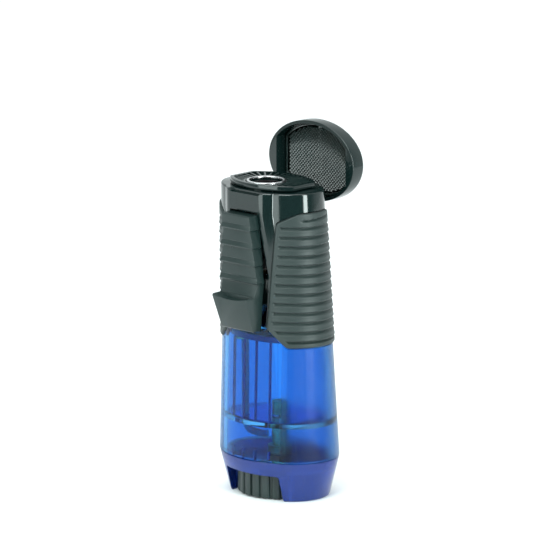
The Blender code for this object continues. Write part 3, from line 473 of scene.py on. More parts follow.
def tinted_plastic(name, dark, light, roughness, grain, transmission=0.0):
    """Moulded plastic: a slow drift of colour, a fine grain, and rubbed patches in its gloss."""
    material, place = new_material(name)
    rubbed = place.noise(160.0, 6.0)
    surface(place, {
        "Base Color": place.noise(110.0, 4.0).mix((*dark, 1), (*light, 1)),
        "Roughness": roughness + (rubbed - 0.5) * 0.14,
        "IOR": 1.46,
        "Transmission Weight": transmission,
        "Normal": place.noise(3200.0, 3.0).bump(grain, 0.6),
    })
    return material


def repaint(material, *nodes):
    """Give CAD nodes, whose shapes are right as they are, their finish."""
    for name in nodes:
        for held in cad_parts[name].material_slots:
            held.material = material


plug_blue = tinted_plastic("plug_blue", (0.010, 0.018, 0.11), (0.022, 0.035, 0.17), 0.30, 0.00002)
repaint(plug_blue, "tank_lid")
soft_black = tinted_plastic("soft_black", (0.010, 0.010, 0.011), (0.020, 0.020, 0.021), 0.62, 0.00004)
repaint(soft_black, "tank_seal")


# Base: a dark blue tinted moulding that tapers to two feet, with a wide opening at the front
# and back for the finger that turns the wheel. It snaps on under the tank.

CUTOUT_HALF_WIDTH = 0.0088
wheel_low, wheel_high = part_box("adjuster_wheel")
WHEEL_RADIUS = (wheel_high.x - wheel_low.x) / 2
WELL_RADIUS = WHEEL_RADIUS + 0.0004
PLATE_LOW_Z = 0.0068
PLATE_HIGH_Z = 0.0080
BASE_WALL = 0.0020
FOOT_ROUND = 0.0005

base = body_solid("base_shell", (
    (0.0, -FOOT_ROUND), (FOOT_ROUND * 0.1, -FOOT_ROUND * 0.56),
    (FOOT_ROUND * 0.4, -FOOT_ROUND * 0.2), (FOOT_ROUND, 0.0),
    (crease_z - GAP / 2 - 0.0003, 0.0), (crease_z - GAP / 2, -0.00012),
))
upper = body_solid("base_upper", (
    (PLATE_HIGH_Z, -BASE_WALL), (crease_z, -BASE_WALL), (crease_z + 0.002, -BASE_WALL),
))
well = prism("wheel_well", circle(WELL_RADIUS, 180, (0.0, refill_y)), "Z", -0.002, PLATE_LOW_Z)
hub_hole = prism("hub_hole", circle(0.0033, 64, (0.0, refill_y)), "Z", 0.004, 0.010)
opening = [
    (-CUTOUT_HALF_WIDTH, -0.002), (CUTOUT_HALF_WIDTH, -0.002),
    (CUTOUT_HALF_WIDTH, PLATE_LOW_Z - 0.0001), (-CUTOUT_HALF_WIDTH, PLATE_LOW_Z - 0.0001),
]
opening = prism("finger_opening", rounded(opening, (0, 0, 0.0006, 0.0006)), "Y", -0.05, 0.05)
smooth(combine(base, "DIFFERENCE", upper, well, hub_hole, opening))
base_blue = tinted_plastic(
    "base_blue", (0.012, 0.040, 0.27), (0.018, 0.065, 0.38), 0.14, 0.00001, transmission=0.60,
)
fit(base, base_blue, "housing", "dark_blue", "base")


# Flame wheel: a moulded black plastic wheel with 24 flutes for the fingertip, hollow below,
# on a hub with a brass collar that turns the metering valve.

FLUTES = 24
FLUTE_DEPTH = 0.0006
WHEEL_RIM = 0.0019
WHEEL_RECESS_Z = 0.0038
HUB_RADIUS = 0.0030
HUB_BORE_RADIUS = 0.0019
WHEEL_STEPS = 288
WHEEL_ROUND = 0.0005


def turned(name, profile, middle, steps):
    """Turn a closed profile of radius and height about an upright axis."""
    shape = bmesh.new()
    columns = []
    for step in range(steps):
        angle = 2 * math.pi * step / steps
        across = Vector((math.cos(angle), math.sin(angle), 0.0))
        columns.append([
            shape.verts.new(Vector((middle[0], middle[1], z)) + across * radius)
            for radius, z in profile
        ])
    for i, column in enumerate(columns):
        after = columns[(i + 1) % steps]
        for j in range(len(profile)):
            k = (j + 1) % len(profile)
            shape.faces.new((column[j], column[k], after[k], after[j]))
    return new_piece(name, shape)


def fluted(start, flutes, depth, radius, middle):
    """Press flutes into the outside of a turned wheel."""
    spot = start.node("GeometryNodeInputPosition")
    x, y = spot.part(0), spot.part(1) - middle
    reach = (x * x + y * y).maths("SQRT", x * x + y * y)
    turn = y.maths("ARCTAN2", y, x) * flutes / (2 * math.pi)
    wave = turn.maths("FRACT", turn) - 0.5
    wave = wave.maths("ABSOLUTE", wave).ramp(0.30, 0.42)
    pull = wave * depth * reach.ramp(radius - 0.0009, radius - 0.0004) / reach
    shift = start.node("ShaderNodeCombineXYZ", None, {0: -1 * pull * x, 1: -1 * pull * y})
    return start.node("GeometryNodeSetPosition", None, {"Geometry": start, "Offset": shift})


top = PLATE_LOW_Z - GAP
rim_inside = WHEEL_RADIUS - WHEEL_RIM
edge = [
    (WHEEL_RADIUS - WHEEL_ROUND * (1 - math.sin(a)), wheel_low.z + WHEEL_ROUND * (1 - math.cos(a)))
    for a in (math.pi / 2 * step / 5 for step in range(6))
]
rim_steps = [(WHEEL_RADIUS, wheel_low.z + share * (top - wheel_low.z)) for share in (0.3, 0.6, 0.85)]
wheel_profile = [
    *edge, *rim_steps, (WHEEL_RADIUS, top - 0.0003), (WHEEL_RADIUS - 0.0003, top),
    (HUB_RADIUS, top), (HUB_RADIUS, wheel_high.z), (HUB_BORE_RADIUS, wheel_high.z),
    (HUB_BORE_RADIUS, WHEEL_RECESS_Z), (rim_inside - 0.0002, WHEEL_RECESS_Z),
    (rim_inside, WHEEL_RECESS_Z - 0.0002), (rim_inside, wheel_low.z + 0.0003),
    (rim_inside + 0.0003, wheel_low.z),
]
wheel = turned("flame_wheel", wheel_profile, (0.0, refill_y), WHEEL_STEPS)
wheel_black = tinted_plastic("wheel_black", (0.008, 0.018, 0.017), (0.014, 0.026, 0.025), 0.36, 0.00005)
sizes = {
    "flutes": FLUTES, "depth": FLUTE_DEPTH, "radius": WHEEL_RADIUS, "middle": refill_y,
}
tree, sockets = grown("wheel_flutes", sizes, wheel_black, fluted)
smooth(grow(wheel, tree, sockets, sizes), 40)
fit(wheel, wheel_black, "adjuster", "trigger_black", "adjuster_wheel")


# Metal inside: turned brass valves and jet, steel springs, pins, stem, lever and latch, and the
# brass collar. They are bought in and pressed or clipped into place.

def machined(name, dark, light, roughness):
    """Turned or drawn metal: fine tool marks round the axis and a little tarnish."""
    material, place = new_material(name)
    marks = place.part(2).node("ShaderNodeTexNoise", {"noise_dimensions": "1D"}, {
        "W": place.part(2), "Scale": 9000.0, "Detail": 3.0,
    })
    tarnish = place.noise(420.0, 5.0)
    surface(place, {
        "Base Color": tarnish.ramp(0.35, 0.75).mix((*light, 1), (*dark, 1)),
        "Metallic": 1.0,
        "Roughness": roughness + marks * 0.12 + tarnish * 0.10,
        "Normal": marks.bump(0.000004, 0.5),
    })
    return material


brass = machined("brass", (0.42, 0.27, 0.09), (0.78, 0.56, 0.24), 0.18)
steel = machined("steel", (0.34, 0.34, 0.35), (0.66, 0.66, 0.67), 0.16)
repaint(brass, "valve_body", "jet_nozzle", "refill_valve", "adjuster_collar")
repaint(steel, "valve_stem", "valve_spring", "valve_lever", "lever_pin", "refill_stem",
        "refill_spring", "piezo_spring", "electrode", "lid_latch", "hinge_pin", "lid_spring")


# Igniter, frame and hoses: a piezo unit with its white plunger, an insulated lead, a ceramic
# sleeve, a plain black frame and two natural nylon hoses.

chassis_black = tinted_plastic(
    "chassis_black", (0.012, 0.012, 0.013), (0.024, 0.024, 0.025), 0.48, 0.00003,
)
white_plastic = tinted_plastic("white_plastic", (0.62, 0.61, 0.57), (0.76, 0.75, 0.72), 0.40, 0.00002)
ceramic = tinted_plastic("ceramic", (0.70, 0.68, 0.62), (0.84, 0.82, 0.77), 0.55, 0.00003)
lead_red = tinted_plastic("lead_red", (0.15, 0.012, 0.010), (0.27, 0.03, 0.02), 0.45, 0.00002)
nylon = tinted_plastic("nylon", (0.10, 0.16, 0.22), (0.20, 0.27, 0.33), 0.35, 0.00002)
repaint(chassis_black, "piezo_body", "inner_frame")
repaint(white_plastic, "piezo_plunger")
repaint(ceramic, "electrode_insulator")
repaint(lead_red, "ignition_lead")
repaint(nylon, "gas_hose", "fuel_tube")


# Burner: a drawn steel mixing tube and cup under the deck's hole, with a drilled flame disc.
# Heat has tinted the mouth of the cup brown and blue.

burner_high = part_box("burner_tube")[1]
heated, place = new_material("heated_steel")
height = place.part(2).ramp(burner_high.z - 0.008, burner_high.z)
soot = place.noise(900.0, 5.0)
tint = height.mix((0.30, 0.29, 0.28, 1), (0.060, 0.045, 0.050, 1))
surface(place, {
    "Base Color": (soot * height).mix(tint, (0.020, 0.020, 0.024, 1)),
    "Metallic": 0.9,
    "Roughness": 0.25 + soot * 0.3,
    "Normal": soot.bump(0.00001, 0.5),
})
repaint(heated, "burner_tube", "flame_disc")


# Upper housing: a gloss black shell moulded in one piece, with a flat panel over the trigger's
# slot, a rounded lip with a notch at the front, a bay for the hinge, and guides for the slide.

HOUSING_WALL = 0.0019
LIP = 0.0005
PANEL_FOOT_Z = 0.0560
PANEL_TOP_HALF_WIDTH = 0.0054
PANEL_FOOT_HALF_WIDTH = 0.0070
PANEL_TOP_Y = axis_y - 0.0102
PANEL_FOOT_Y = axis_y - 0.0084
PANEL_FLARE = 0.0026
TRIGGER_TOP_HALF_WIDTH = 0.0043
TRIGGER_HALF_WIDTH = 0.0062
TRIGGER_FOOT_HALF_WIDTH = 0.0052
NOTCH_HALF_WIDTH = 0.0048
NOTCH_DEPTH = 0.0007
CHEEK_X = 0.0053
KNUCKLE_RADIUS = 0.0019
PIN_HOLE_RADIUS = 0.0010
BAY_HALF_WIDTH = 0.0037
BURNER_HOLE_RADIUS = 0.0055
pin_low, pin_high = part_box("hinge_pin")
hinge_y, hinge_z = (pin_low.y + pin_high.y) / 2, (pin_low.z + pin_high.z) / 2
trigger_low, trigger_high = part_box("trigger")
trigger_top = trigger_high.z


def panel_ring(z, half_width, front, inset):
    flare = half_width + PANEL_FLARE
    outline = [
        (-half_width, front + inset), (half_width, front + inset),
        (flare, front + 0.0018 + inset), (flare, front + 0.0040),
        (-flare, front + 0.0040), (-flare, front + 0.0018 + inset),
    ]
    return [(x, y, z) for x, y in rounded(outline, (0.0030, 0.0030, 0.0012, 0, 0, 0.0012))]


lip_turns = [math.pi / 2 * step / 4 for step in range(5)]
lip_levels = [(rim_z - LIP + LIP * math.sin(a), LIP * 0.7 * (1 - math.cos(a))) for a in lip_turns]
housing = body_solid("housing_shell", (
    (shoulder_z + GAP / 2, 0.0), *((z, -inset) for z, inset in lip_levels),
))
panel = loft("panel", [
    panel_ring(PANEL_FOOT_Z, PANEL_FOOT_HALF_WIDTH, PANEL_FOOT_Y, 0.0),
    panel_ring(trigger_top, PANEL_TOP_HALF_WIDTH, PANEL_TOP_Y, 0.0),
    *(panel_ring(z, PANEL_TOP_HALF_WIDTH, PANEL_TOP_Y, inset) for z, inset in lip_levels),
])
hollow = body_solid("hollow", (
    (shoulder_z - 0.005, -HOUSING_WALL), (shoulder_z, -HOUSING_WALL), (rim_z - 0.0014, -HOUSING_WALL),
))
wide = TRIGGER_HALF_WIDTH + GAP
slot_half = [
    (TRIGGER_TOP_HALF_WIDTH + GAP, trigger_top + 0.0005), (wide, shoulder_z + 0.0140),
    (wide - 0.0002, shoulder_z + 0.0060), (TRIGGER_FOOT_HALF_WIDTH + GAP, shoulder_z - 0.0010),
]
slot_outline = slot_half + [(-across, up) for across, up in reversed(slot_half)]


def slot_cutter(grow, front, back):
    outline = [(x + math.copysign(grow, x), z) for x, z in slot_outline]
    return prism("slot", outline, "Y", front, back)


mouth = circle(BURNER_HOLE_RADIUS, 72, (0.0, nozzle_y))
burner_hole = prism("burner_hole", mouth, "Z", rim_z - 0.003, rim_z + 0.001)
cheeks = prism("cheeks", circle(KNUCKLE_RADIUS, 48, (hinge_y, hinge_z)), "X", -CHEEK_X, CHEEK_X)
notch = prism("notch", rounded([
    (-NOTCH_HALF_WIDTH - 0.0014, rim_z + NOTCH_DEPTH), (-NOTCH_HALF_WIDTH, rim_z - NOTCH_DEPTH),
    (NOTCH_HALF_WIDTH, rim_z - NOTCH_DEPTH), (NOTCH_HALF_WIDTH + 0.0014, rim_z + NOTCH_DEPTH),
], (0, 0.0004, 0.0004, 0)), "Y", -0.05, PANEL_TOP_Y + 0.0011)
bay = prism("bay", [
    (hinge_y - KNUCKLE_RADIUS - GAP, hinge_z - KNUCKLE_RADIUS - GAP),
    (hinge_y + 0.006, hinge_z - KNUCKLE_RADIUS - GAP),
    (hinge_y + 0.006, rim_z + 0.001), (hinge_y - KNUCKLE_RADIUS - GAP, rim_z + 0.001),
], "X", -BAY_HALF_WIDTH, BAY_HALF_WIDTH)
pin_round = circle(PIN_HOLE_RADIUS, 32, (hinge_y, hinge_z))
pin_hole = prism("pin_hole", pin_round, "X", -CHEEK_X - GAP, CHEEK_X + GAP)
combine(housing, "UNION", panel)
combine(housing, "DIFFERENCE", slot_cutter(0.0, -0.05, axis_y - 0.0054), hollow, burner_hole)
combine(housing, "UNION", cheeks)
combine(housing, "DIFFERENCE", bay, pin_hole, notch, *grip_seats())
smooth(housing, 30)

gloss_black, place = new_material("gloss_black")
rubbed = place.noise(130.0, 6.0)
scratch = place.node("ShaderNodeMapping", None, {"Vector": place, "Scale": (900.0, 900.0, 90.0)})
scratch = scratch.noise(1.0, 2.0).ramp(0.60, 0.80)
surface(place, {
    "Base Color": rubbed.mix((0.0030, 0.0090, 0.0088, 1), (0.0045, 0.0120, 0.0116, 1)),
    "Roughness": 0.07 + rubbed * 0.05 + scratch * 0.06,
    "IOR": 1.5,
    "Normal": place.noise(300.0, 2.0).bump(0.00001, 0.25),
})
fit(housing, gloss_black, "housing", "gloss_black", "upper_housing")

guide = slot_cutter(0.0006, axis_y - 0.0080, axis_y - 0.0057)
smooth(combine(guide, "DIFFERENCE", slot_cutter(0.00001, -0.05, 0.0)))
guide.name = "slide_guide"
fit(guide, soft_black, "housing", "gloss_black")


# Side grips: two moulded rubber pads, mirror images, each with thirteen overlapping ribs and
# one short rib above them at the back. They are bonded into seats in the housing and tank.

GRIP_STEPS = 150
GRIP_ROWS_PER_RIB = 16
RIB_PITCH = 0.00238
RIB_FIRST_Z = rim_z - 0.00805
GRIP_RIBS = 13
RIB_CUT = 0.00060
RIB_MARGIN = 0.0012
GRIP_ROUND = 0.0004


def grip_front(z, outline):
    """Where the grip's front edge crosses height z."""
    crossings = []
    for (x_a, z_a), (x_b, z_b) in zip(outline, outline[1:]):
        if min(z_a, z_b) <= z <= max(z_a, z_b) and z_a != z_b:
            crossings.append(x_a + (x_b - x_a) * (z - z_a) / (z_b - z_a))
    return min(crossings)


def grip_pad(name, side):
    """A smooth pad over the grip's outline, with the distance to its edge as an attribute."""
    outline = grip_outline(0.0, 1)
    lowest = GRIP_FOOT_Z + 0.000001
    step = RIB_PITCH / GRIP_ROWS_PER_RIB
    count = int((RIB_FIRST_Z - lowest) / step)
    levels = [lowest] + [RIB_FIRST_Z - step * i for i in range(count, -1, -1)]
    levels += [z for z in (RIB_FIRST_Z + step * i for i in range(1, 60)) if z < GRIP_TOP_Z - step]
    levels += [GRIP_TOP_Z - step * share for share in (0.9, 0.7, 0.5, 0.35, 0.2, 0.1, 0.04)]
    levels = [z for i, z in enumerate(levels) if i == 0 or z - levels[i - 1] > 0.00000001]
    rows = []
    for z in levels:
        half_width = body_oval(z)[0] + GRIP_PROUD
        start = math.asin(min(0.9999, grip_front(z, outline) / half_width))
        rows.append([start + (math.pi - 2 * start) * i / GRIP_STEPS for i in range(GRIP_STEPS + 1)])
    flat = [
        [(body_oval(z)[0] * turn * 0.85, z) for turn in row] for z, row in zip(levels, rows)
    ]
    edge = [point for row in (flat[0], flat[-1]) for point in row]
    for row, after in zip(flat, flat[1:]):
        for end in (0, -1):
            (x_a, z_a), (x_b, z_b) = row[end], after[end]
            parts = max(1, int(math.hypot(x_b - x_a, z_b - z_a) / 0.0001))
            edge += [
                (x_a + (x_b - x_a) * i / parts, z_a + (z_b - z_a) * i / parts) for i in range(parts)
            ]
    near = KDTree(len(edge))
    for i, (x, z) in enumerate(edge):
        near.insert((x, z, 0.0), i)
    near.balance()
    verts, margins = [], []
    for row, places, z in zip(rows, flat, levels):
        for turn, (x, up) in zip(row, places):
            gap = near.find((x, up, 0.0))[2]
            sink = max(0.0, GRIP_ROUND - gap)
            drop = GRIP_ROUND - math.sqrt(max(0.0, GRIP_ROUND ** 2 - sink ** 2))
            point = on_body(turn, z, GRIP_PROUD - drop)
            verts.append((side * point.x, point.y, point.z))
            margins.append(gap)
    inner = len(verts)
    for row, z in zip(rows, levels):
        for turn in row:
            point = on_body(turn, z, -GRIP_SINK)
            verts.append((side * point.x, point.y, point.z))
            margins.append(0.0)
    wide = GRIP_STEPS + 1
    faces = []
    for r in range(len(rows) - 1):
        for c in range(GRIP_STEPS):
            a, b = r * wide + c, r * wide + c + 1
            faces.append((a, b, b + wide, a + wide))
            faces.append((inner + a + wide, inner + b + wide, inner + b, inner + a))
    rim = [c for c in range(wide)] + [r * wide + wide - 1 for r in range(1, len(rows))]
    rim += [(len(rows) - 1) * wide + c for c in range(wide - 2, -1, -1)]
    rim += [r * wide for r in range(len(rows) - 2, 0, -1)]
    for a, b in zip(rim, rim[1:] + rim[:1]):
        faces.append((b, a, inner + a, inner + b))
    mesh = bpy.data.meshes.new(name)
    mesh.from_pydata(verts, [], faces)
    margin = mesh.attributes.new("margin", "FLOAT", "POINT")
    margin.data.foreach_set("value", margins)
    shape = bmesh.new()
    shape.from_mesh(mesh)
    bmesh.ops.recalc_face_normals(shape, faces=shape.faces)
    shape.to_mesh(mesh)
    shape.free()
    pad = bpy.data.objects.new(name, mesh)
    bpy.context.scene.collection.objects.link(pad)
    return pad


def ribbed(start, pitch, first, ribs, depth, border, slant_z, slant_y):
    """Press overlapping ribs into a pad: each drops sharply and slopes back out below."""
    spot = start.node("GeometryNodeInputPosition")
    z, y = spot.part(2), spot.part(1)
    margin = start.node("GeometryNodeInputNamedAttribute", {"data_type": "FLOAT"}, {"Name": "margin"})
    inside = margin.ramp(border - 0.00015, border + 0.00012)
    down = (first - z) / pitch
    share = down.maths("FRACT", down + 0.0001)
    cut = share.ramp(0.0, 0.10) * (1 - share.ramp(0.12, 0.46))
    lip = share.ramp(0.70, 0.94) * (1 - share.ramp(0.94, 1.0)) * 0.18
    span = down.ramp(-0.02, 0.0) * (1 - down.ramp(ribs - 0.65, ribs - 0.60))
    fall = (slant_z + (y - slant_y) * 0.06 - z) / pitch
    slanted = fall.ramp(0.0, 0.07) * (1 - fall.ramp(0.07, 0.36)) * y.ramp(slant_y, slant_y + 0.0012)
    depth_here = depth * inside * ((cut - lip) * span + slanted * 0.9)
    normal = start.node("GeometryNodeInputNormal")
    shift = start.node("ShaderNodeVectorMath", {"operation": "SCALE"}, {
        0: normal, "Scale": -1 * depth_here,
    })
    return start.node("GeometryNodeSetPosition", None, {"Geometry": start, "Offset": shift})


grip_rubber, place = new_material("grip_rubber")
dust = place.noise(240.0, 6.0)
crumb = place.noise(4200.0, 4.0)
surface(place, {
    "Base Color": dust.mix((0.0055, 0.014, 0.0135, 1), (0.010, 0.021, 0.020, 1)),
    "Roughness": 0.42 + dust * 0.10 + crumb * 0.06,
    "IOR": 1.5,
    "Sheen Weight": 0.06,
    "Normal": crumb.bump(0.00004, 0.6),
})
sizes = {
    "pitch": RIB_PITCH, "first": RIB_FIRST_Z, "ribs": GRIP_RIBS, "depth": RIB_CUT,
    "border": RIB_MARGIN, "slant_z": rim_z - 0.0064, "slant_y": axis_y - 0.0046,
}
tree, sockets = grown("grip_ribs", sizes, grip_rubber, ribbed)
for side, node in ((-1, "left_grip"), (1, "right_grip")):
    pad = grow(grip_pad(node.replace("grip", "pad"), side), tree, sockets, sizes)
    pad.data.shade_smooth()
    pad.data.set_sharp_from_angle(angle=math.radians(50))
    fit(pad, grip_rubber, "housing", "grip_rubber", node)


# Trigger: a satin black thumb slide. Its face steps down in four overlapping ribs to a scooped
# shelf, and it runs in the housing's guides on a carriage behind.

TRIGGER_TOP_Y = axis_y - 0.01325
TRIGGER_WAIST_Y = axis_y - 0.0120
SKIN_Y = axis_y - 0.0096
SHELF_Z = 0.0522
SHELF_Y = axis_y - 0.0154
SHELF_FOOT_Y = axis_y - 0.0126
THUMB_RIBS = 4
THUMB_RIB_DROP = 0.0039
THUMB_RIB_PITCH = 0.00435
SCOOP_RADIUS = 0.0190
SCOOP_DEPTH = 0.0008

profile = [
    (SKIN_Y, trigger_top), (TRIGGER_TOP_Y + 0.0004, trigger_top),
    (TRIGGER_TOP_Y + 0.0001, trigger_top - 0.0003),
]
sides = [(TRIGGER_TOP_HALF_WIDTH, trigger_top + 0.0010)]
for rib in range(THUMB_RIBS):
    low = trigger_top - THUMB_RIB_DROP - rib * THUMB_RIB_PITCH
    share = (rib + 1) / THUMB_RIBS
    face_y = TRIGGER_TOP_Y + share * (TRIGGER_WAIST_Y - TRIGGER_TOP_Y)
    half_width = TRIGGER_TOP_HALF_WIDTH + share * (TRIGGER_HALF_WIDTH - TRIGGER_TOP_HALF_WIDTH)
    profile += [
        (face_y - 0.00005, low + 0.0017), (face_y + 0.00008, low + 0.00150),
        (face_y - 0.0003, low + 0.0005), (face_y - 0.00022, low + 0.00025),
        (face_y + 0.00030, low + 0.0001), (face_y + 0.00030, low - 0.0002),
    ]
    sides += [(half_width + 0.0001, low + 0.0004), (half_width - 0.0004, low - 0.0001)]
profile += [
    (TRIGGER_WAIST_Y - 0.0001, SHELF_Z + 0.0012), (TRIGGER_WAIST_Y - 0.0005, SHELF_Z + 0.0002),
    (SHELF_Y + 0.0002, SHELF_Z), (SHELF_Y, SHELF_Z - 0.0002), (SHELF_Y, SHELF_Z - 0.0006),
    (SHELF_FOOT_Y, trigger_low.z + 0.0002), (SHELF_FOOT_Y + 0.0002, trigger_low.z),
    (SKIN_Y, trigger_low.z),
]
sides += [
    (TRIGGER_HALF_WIDTH - 0.0005, SHELF_Z - 0.0006), (TRIGGER_FOOT_HALF_WIDTH, trigger_low.z - 0.001),
]
slide = prism("thumb_slide", profile, "X", -0.02, 0.02)
front = prism("front", sides + [(-across, up) for across, up in reversed(sides)], "Y", -0.05, 0.0)
scoop_z = SHELF_Z + SCOOP_RADIUS - SCOOP_DEPTH
scoop = prism("scoop", circle(SCOOP_RADIUS, 160, (0.0, scoop_z)), "Y", -0.05, TRIGGER_WAIST_Y - 0.0007)
upper = prism("upper", [(-0.02, SHELF_Z + 0.0011), (0.02, SHELF_Z + 0.0011), (0.02, 0.12), (-0.02, 0.12)],
              "Y", -0.06, 0.0)
combine(scoop, "DIFFERENCE", upper)
combine(slide, "INTERSECT", front)
combine(slide, "DIFFERENCE", scoop)
smooth(bevel(slide, 0.00014, 3, 22), 40)
satin_black = tinted_plastic("satin_black", (0.0055, 0.014, 0.0135), (0.009, 0.020, 0.019), 0.30, 0.00002)

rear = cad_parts["trigger"]
carriage = bpy.data.objects.new("slide_carriage", rear.data.copy())
bpy.context.scene.collection.objects.link(carriage)
smooth(carriage, 30)
around = [(-0.02, 0.03), (0.02, 0.03), (0.02, 0.09), (-0.02, 0.09)]
keep = prism("keep", around, "Y", SKIN_Y - 0.00005, 0.02)
combine(carriage, "INTERSECT", keep)
smooth(carriage, 30)
fit(carriage, satin_black, "thumb_slide", "trigger_black")
fit(slide, satin_black, "thumb_slide", "trigger_black", "trigger")


# Deck: a gloss black plate dropped into the housing's mouth, with a sunk grille of slats that
# fan out round the flame's hole, and a polished steel ring pressed in round the hole.

DECK_THICKNESS = 0.0012
DECK_TOP_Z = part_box("top_deck")[1].z
DECK_Z = DECK_TOP_Z - DECK_THICKNESS
DECK_HALF_WIDTH = 0.0120
DECK_HALF_DEPTH = 0.0081
DECK_FLAT_X = 0.0106
GRILLE_BORDER = 0.0010
GRILLE_DEPTH = 0.00050
GRILLE_BARS = 36
GRILLE_BAR_WIDTH = 0.00042
GRILLE_INNER_RADIUS = 0.0056


def cropped_oval(half_width, half_depth, flat_x, middle_y, steps=60):
    """An oval with its two ends cut off straight at flat_x."""
    start = math.acos(flat_x / half_width)
    sweep = math.pi - 2 * start
    turns = [
        first + sweep * step / steps for first in (start, start + math.pi) for step in range(steps + 1)
    ]
    return [(half_width * math.cos(a), middle_y + half_depth * math.sin(a)) for a in turns]


def slatted(start, bars, width, height, floor, inner, middle, offset, half_width, half_depth, flat):
    """Bars that fan out from a hole's edge to a cropped oval round it."""
    line = start.node("GeometryNodeMeshLine", None, {"Count": bars})
    index = start.node("GeometryNodeInputIndex")
    turn = (index + 0.5) * (2 * math.pi) / bars
    across, along = turn.maths("COSINE", turn), turn.maths("SINE", turn)
    a = across * across / (half_width * half_width) + along * along / (half_depth * half_depth)
    b = offset * along / (half_depth * half_depth)
    c = offset * offset / (half_depth * half_depth) - 1
    inside = b * b - a * c
    reach = (inside.maths("SQRT", inside) - b) / a
    reach = reach.maths("MINIMUM", reach, flat / across.maths("ABSOLUTE", across))
    half = (inner + reach) / 2
    spot = start.node("ShaderNodeCombineXYZ", None, {0: half * across, 1: middle + half * along, 2: floor})
    placed = start.node("GeometryNodeSetPosition", None, {"Geometry": line, "Position": spot})
    bar = start.node("GeometryNodeMeshCube")
    size = start.node("ShaderNodeCombineXYZ", None, {0: reach - inner + 0.0002, 1: width, 2: height})
    aim = start.node("ShaderNodeCombineXYZ", None, {2: turn})
    return start.node("GeometryNodeInstanceOnPoints", None, {
        "Points": placed, "Instance": bar, "Rotation": aim, "Scale": size,
    })


deck = prism(
    "deck", cropped_oval(DECK_HALF_WIDTH, DECK_HALF_DEPTH, DECK_FLAT_X, axis_y), "Z", DECK_Z, DECK_TOP_Z,
)
bevel(deck, 0.00018, 3, 40)
grille = prism("grille", cropped_oval(
    DECK_HALF_WIDTH - GRILLE_BORDER, DECK_HALF_DEPTH - GRILLE_BORDER, DECK_FLAT_X - GRILLE_BORDER, axis_y,
), "Z", DECK_TOP_Z - GRILLE_DEPTH, DECK_TOP_Z + 0.001)
boss = prism("boss", circle(0.0057, 96, (0.0, nozzle_y)), "Z", DECK_Z, DECK_TOP_Z - 0.0001)
collar = prism("collar", circle(0.0052, 96, (0.0, nozzle_y)), "Z", rim_z - 0.0026, DECK_Z + 0.0002)
hole = prism("hole", circle(0.0043, 96, (0.0, nozzle_y)), "Z", rim_z - 0.004, DECK_TOP_Z + 0.002)
seat = prism("seat", circle(0.0051, 96, (0.0, nozzle_y)), "Z", DECK_TOP_Z - 0.00055, DECK_TOP_Z + 0.002)
back = hinge_y - 0.0009
gap = prism("gap", [
    (-0.0038, back), (0.0038, back), (0.0038, back + 0.01), (-0.0038, back + 0.01),
], "Z", DECK_Z - 0.001, DECK_TOP_Z + 0.001)
combine(deck, "DIFFERENCE", grille)
combine(deck, "UNION", boss, collar)
smooth(combine(deck, "DIFFERENCE", hole, seat, gap))
fit(deck, gloss_black, "housing", "gloss_black", "top_deck")
sizes = {
    "bars": GRILLE_BARS, "width": GRILLE_BAR_WIDTH, "height": GRILLE_DEPTH,
    "floor": DECK_TOP_Z - GRILLE_DEPTH * 0.62, "inner": GRILLE_INNER_RADIUS, "middle": nozzle_y,
    "offset": nozzle_y - axis_y, "half_width": DECK_HALF_WIDTH - GRILLE_BORDER,
    "half_depth": DECK_HALF_DEPTH - GRILLE_BORDER, "flat": DECK_FLAT_X - GRILLE_BORDER,
}
slats = empty_piece("deck_slats")
tree, sockets = grown("deck_grille", sizes, satin_black, slatted)
grow(slats, tree, sockets, sizes)
fit(slats, satin_black, "housing", "gloss_black")

ring_low, ring_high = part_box("nozzle_ring")
RING_OUTER = (ring_high.x - ring_low.x) / 2
RING_INNER = RING_OUTER - 0.00065
crown = [
    ((RING_OUTER + RING_INNER) / 2 + 0.000325 * math.cos(a), ring_high.z - 0.00022 * (1 - math.sin(a)))
    for a in (math.pi * step / 10 for step in range(11))
]
ring = turned("ring", [*crown, (RING_INNER, ring_low.z), (RING_OUTER, ring_low.z)], (0.0, nozzle_y), 144)
smooth(ring, 50)
fit(ring, steel, "housing", "steel", "nozzle_ring")


# Lid: a shallow gloss black cap on two hinge arms. A pressed dark steel heat liner with small
# diamond points is glued inside it. Made closed, then swung back a quarter turn.

LID_HALF_WIDTH = 0.0142
LID_HALF_DEPTH = 0.0101
LID_FLAT_X = 0.0116
LID_MIDDLE_Y = axis_y + 0.0003
LID_HEIGHT = 0.0045
LID_WALL = 0.0008
LID_ROOF = 0.0007
LID_ROUND = 0.0018
LINER_PLATE = 0.00008
STUD_HEIGHT = 0.00032
STUD_PITCH = 0.00095
STUD_BORDER = 0.0008
STUD_ROWS = 41
KNUCKLE_X = (0.0013, 0.0034)
LID_Z = rim_z + GAP
lid_top = LID_Z + LID_HEIGHT


def lid_ring(z, inset):
    turns = [2 * math.pi * step / 240 for step in range(240)]
    wide, deep = LID_HALF_WIDTH - inset, LID_HALF_DEPTH - inset
    return [(wide * math.cos(a), LID_MIDDLE_Y + deep * math.sin(a), z) for a in turns]


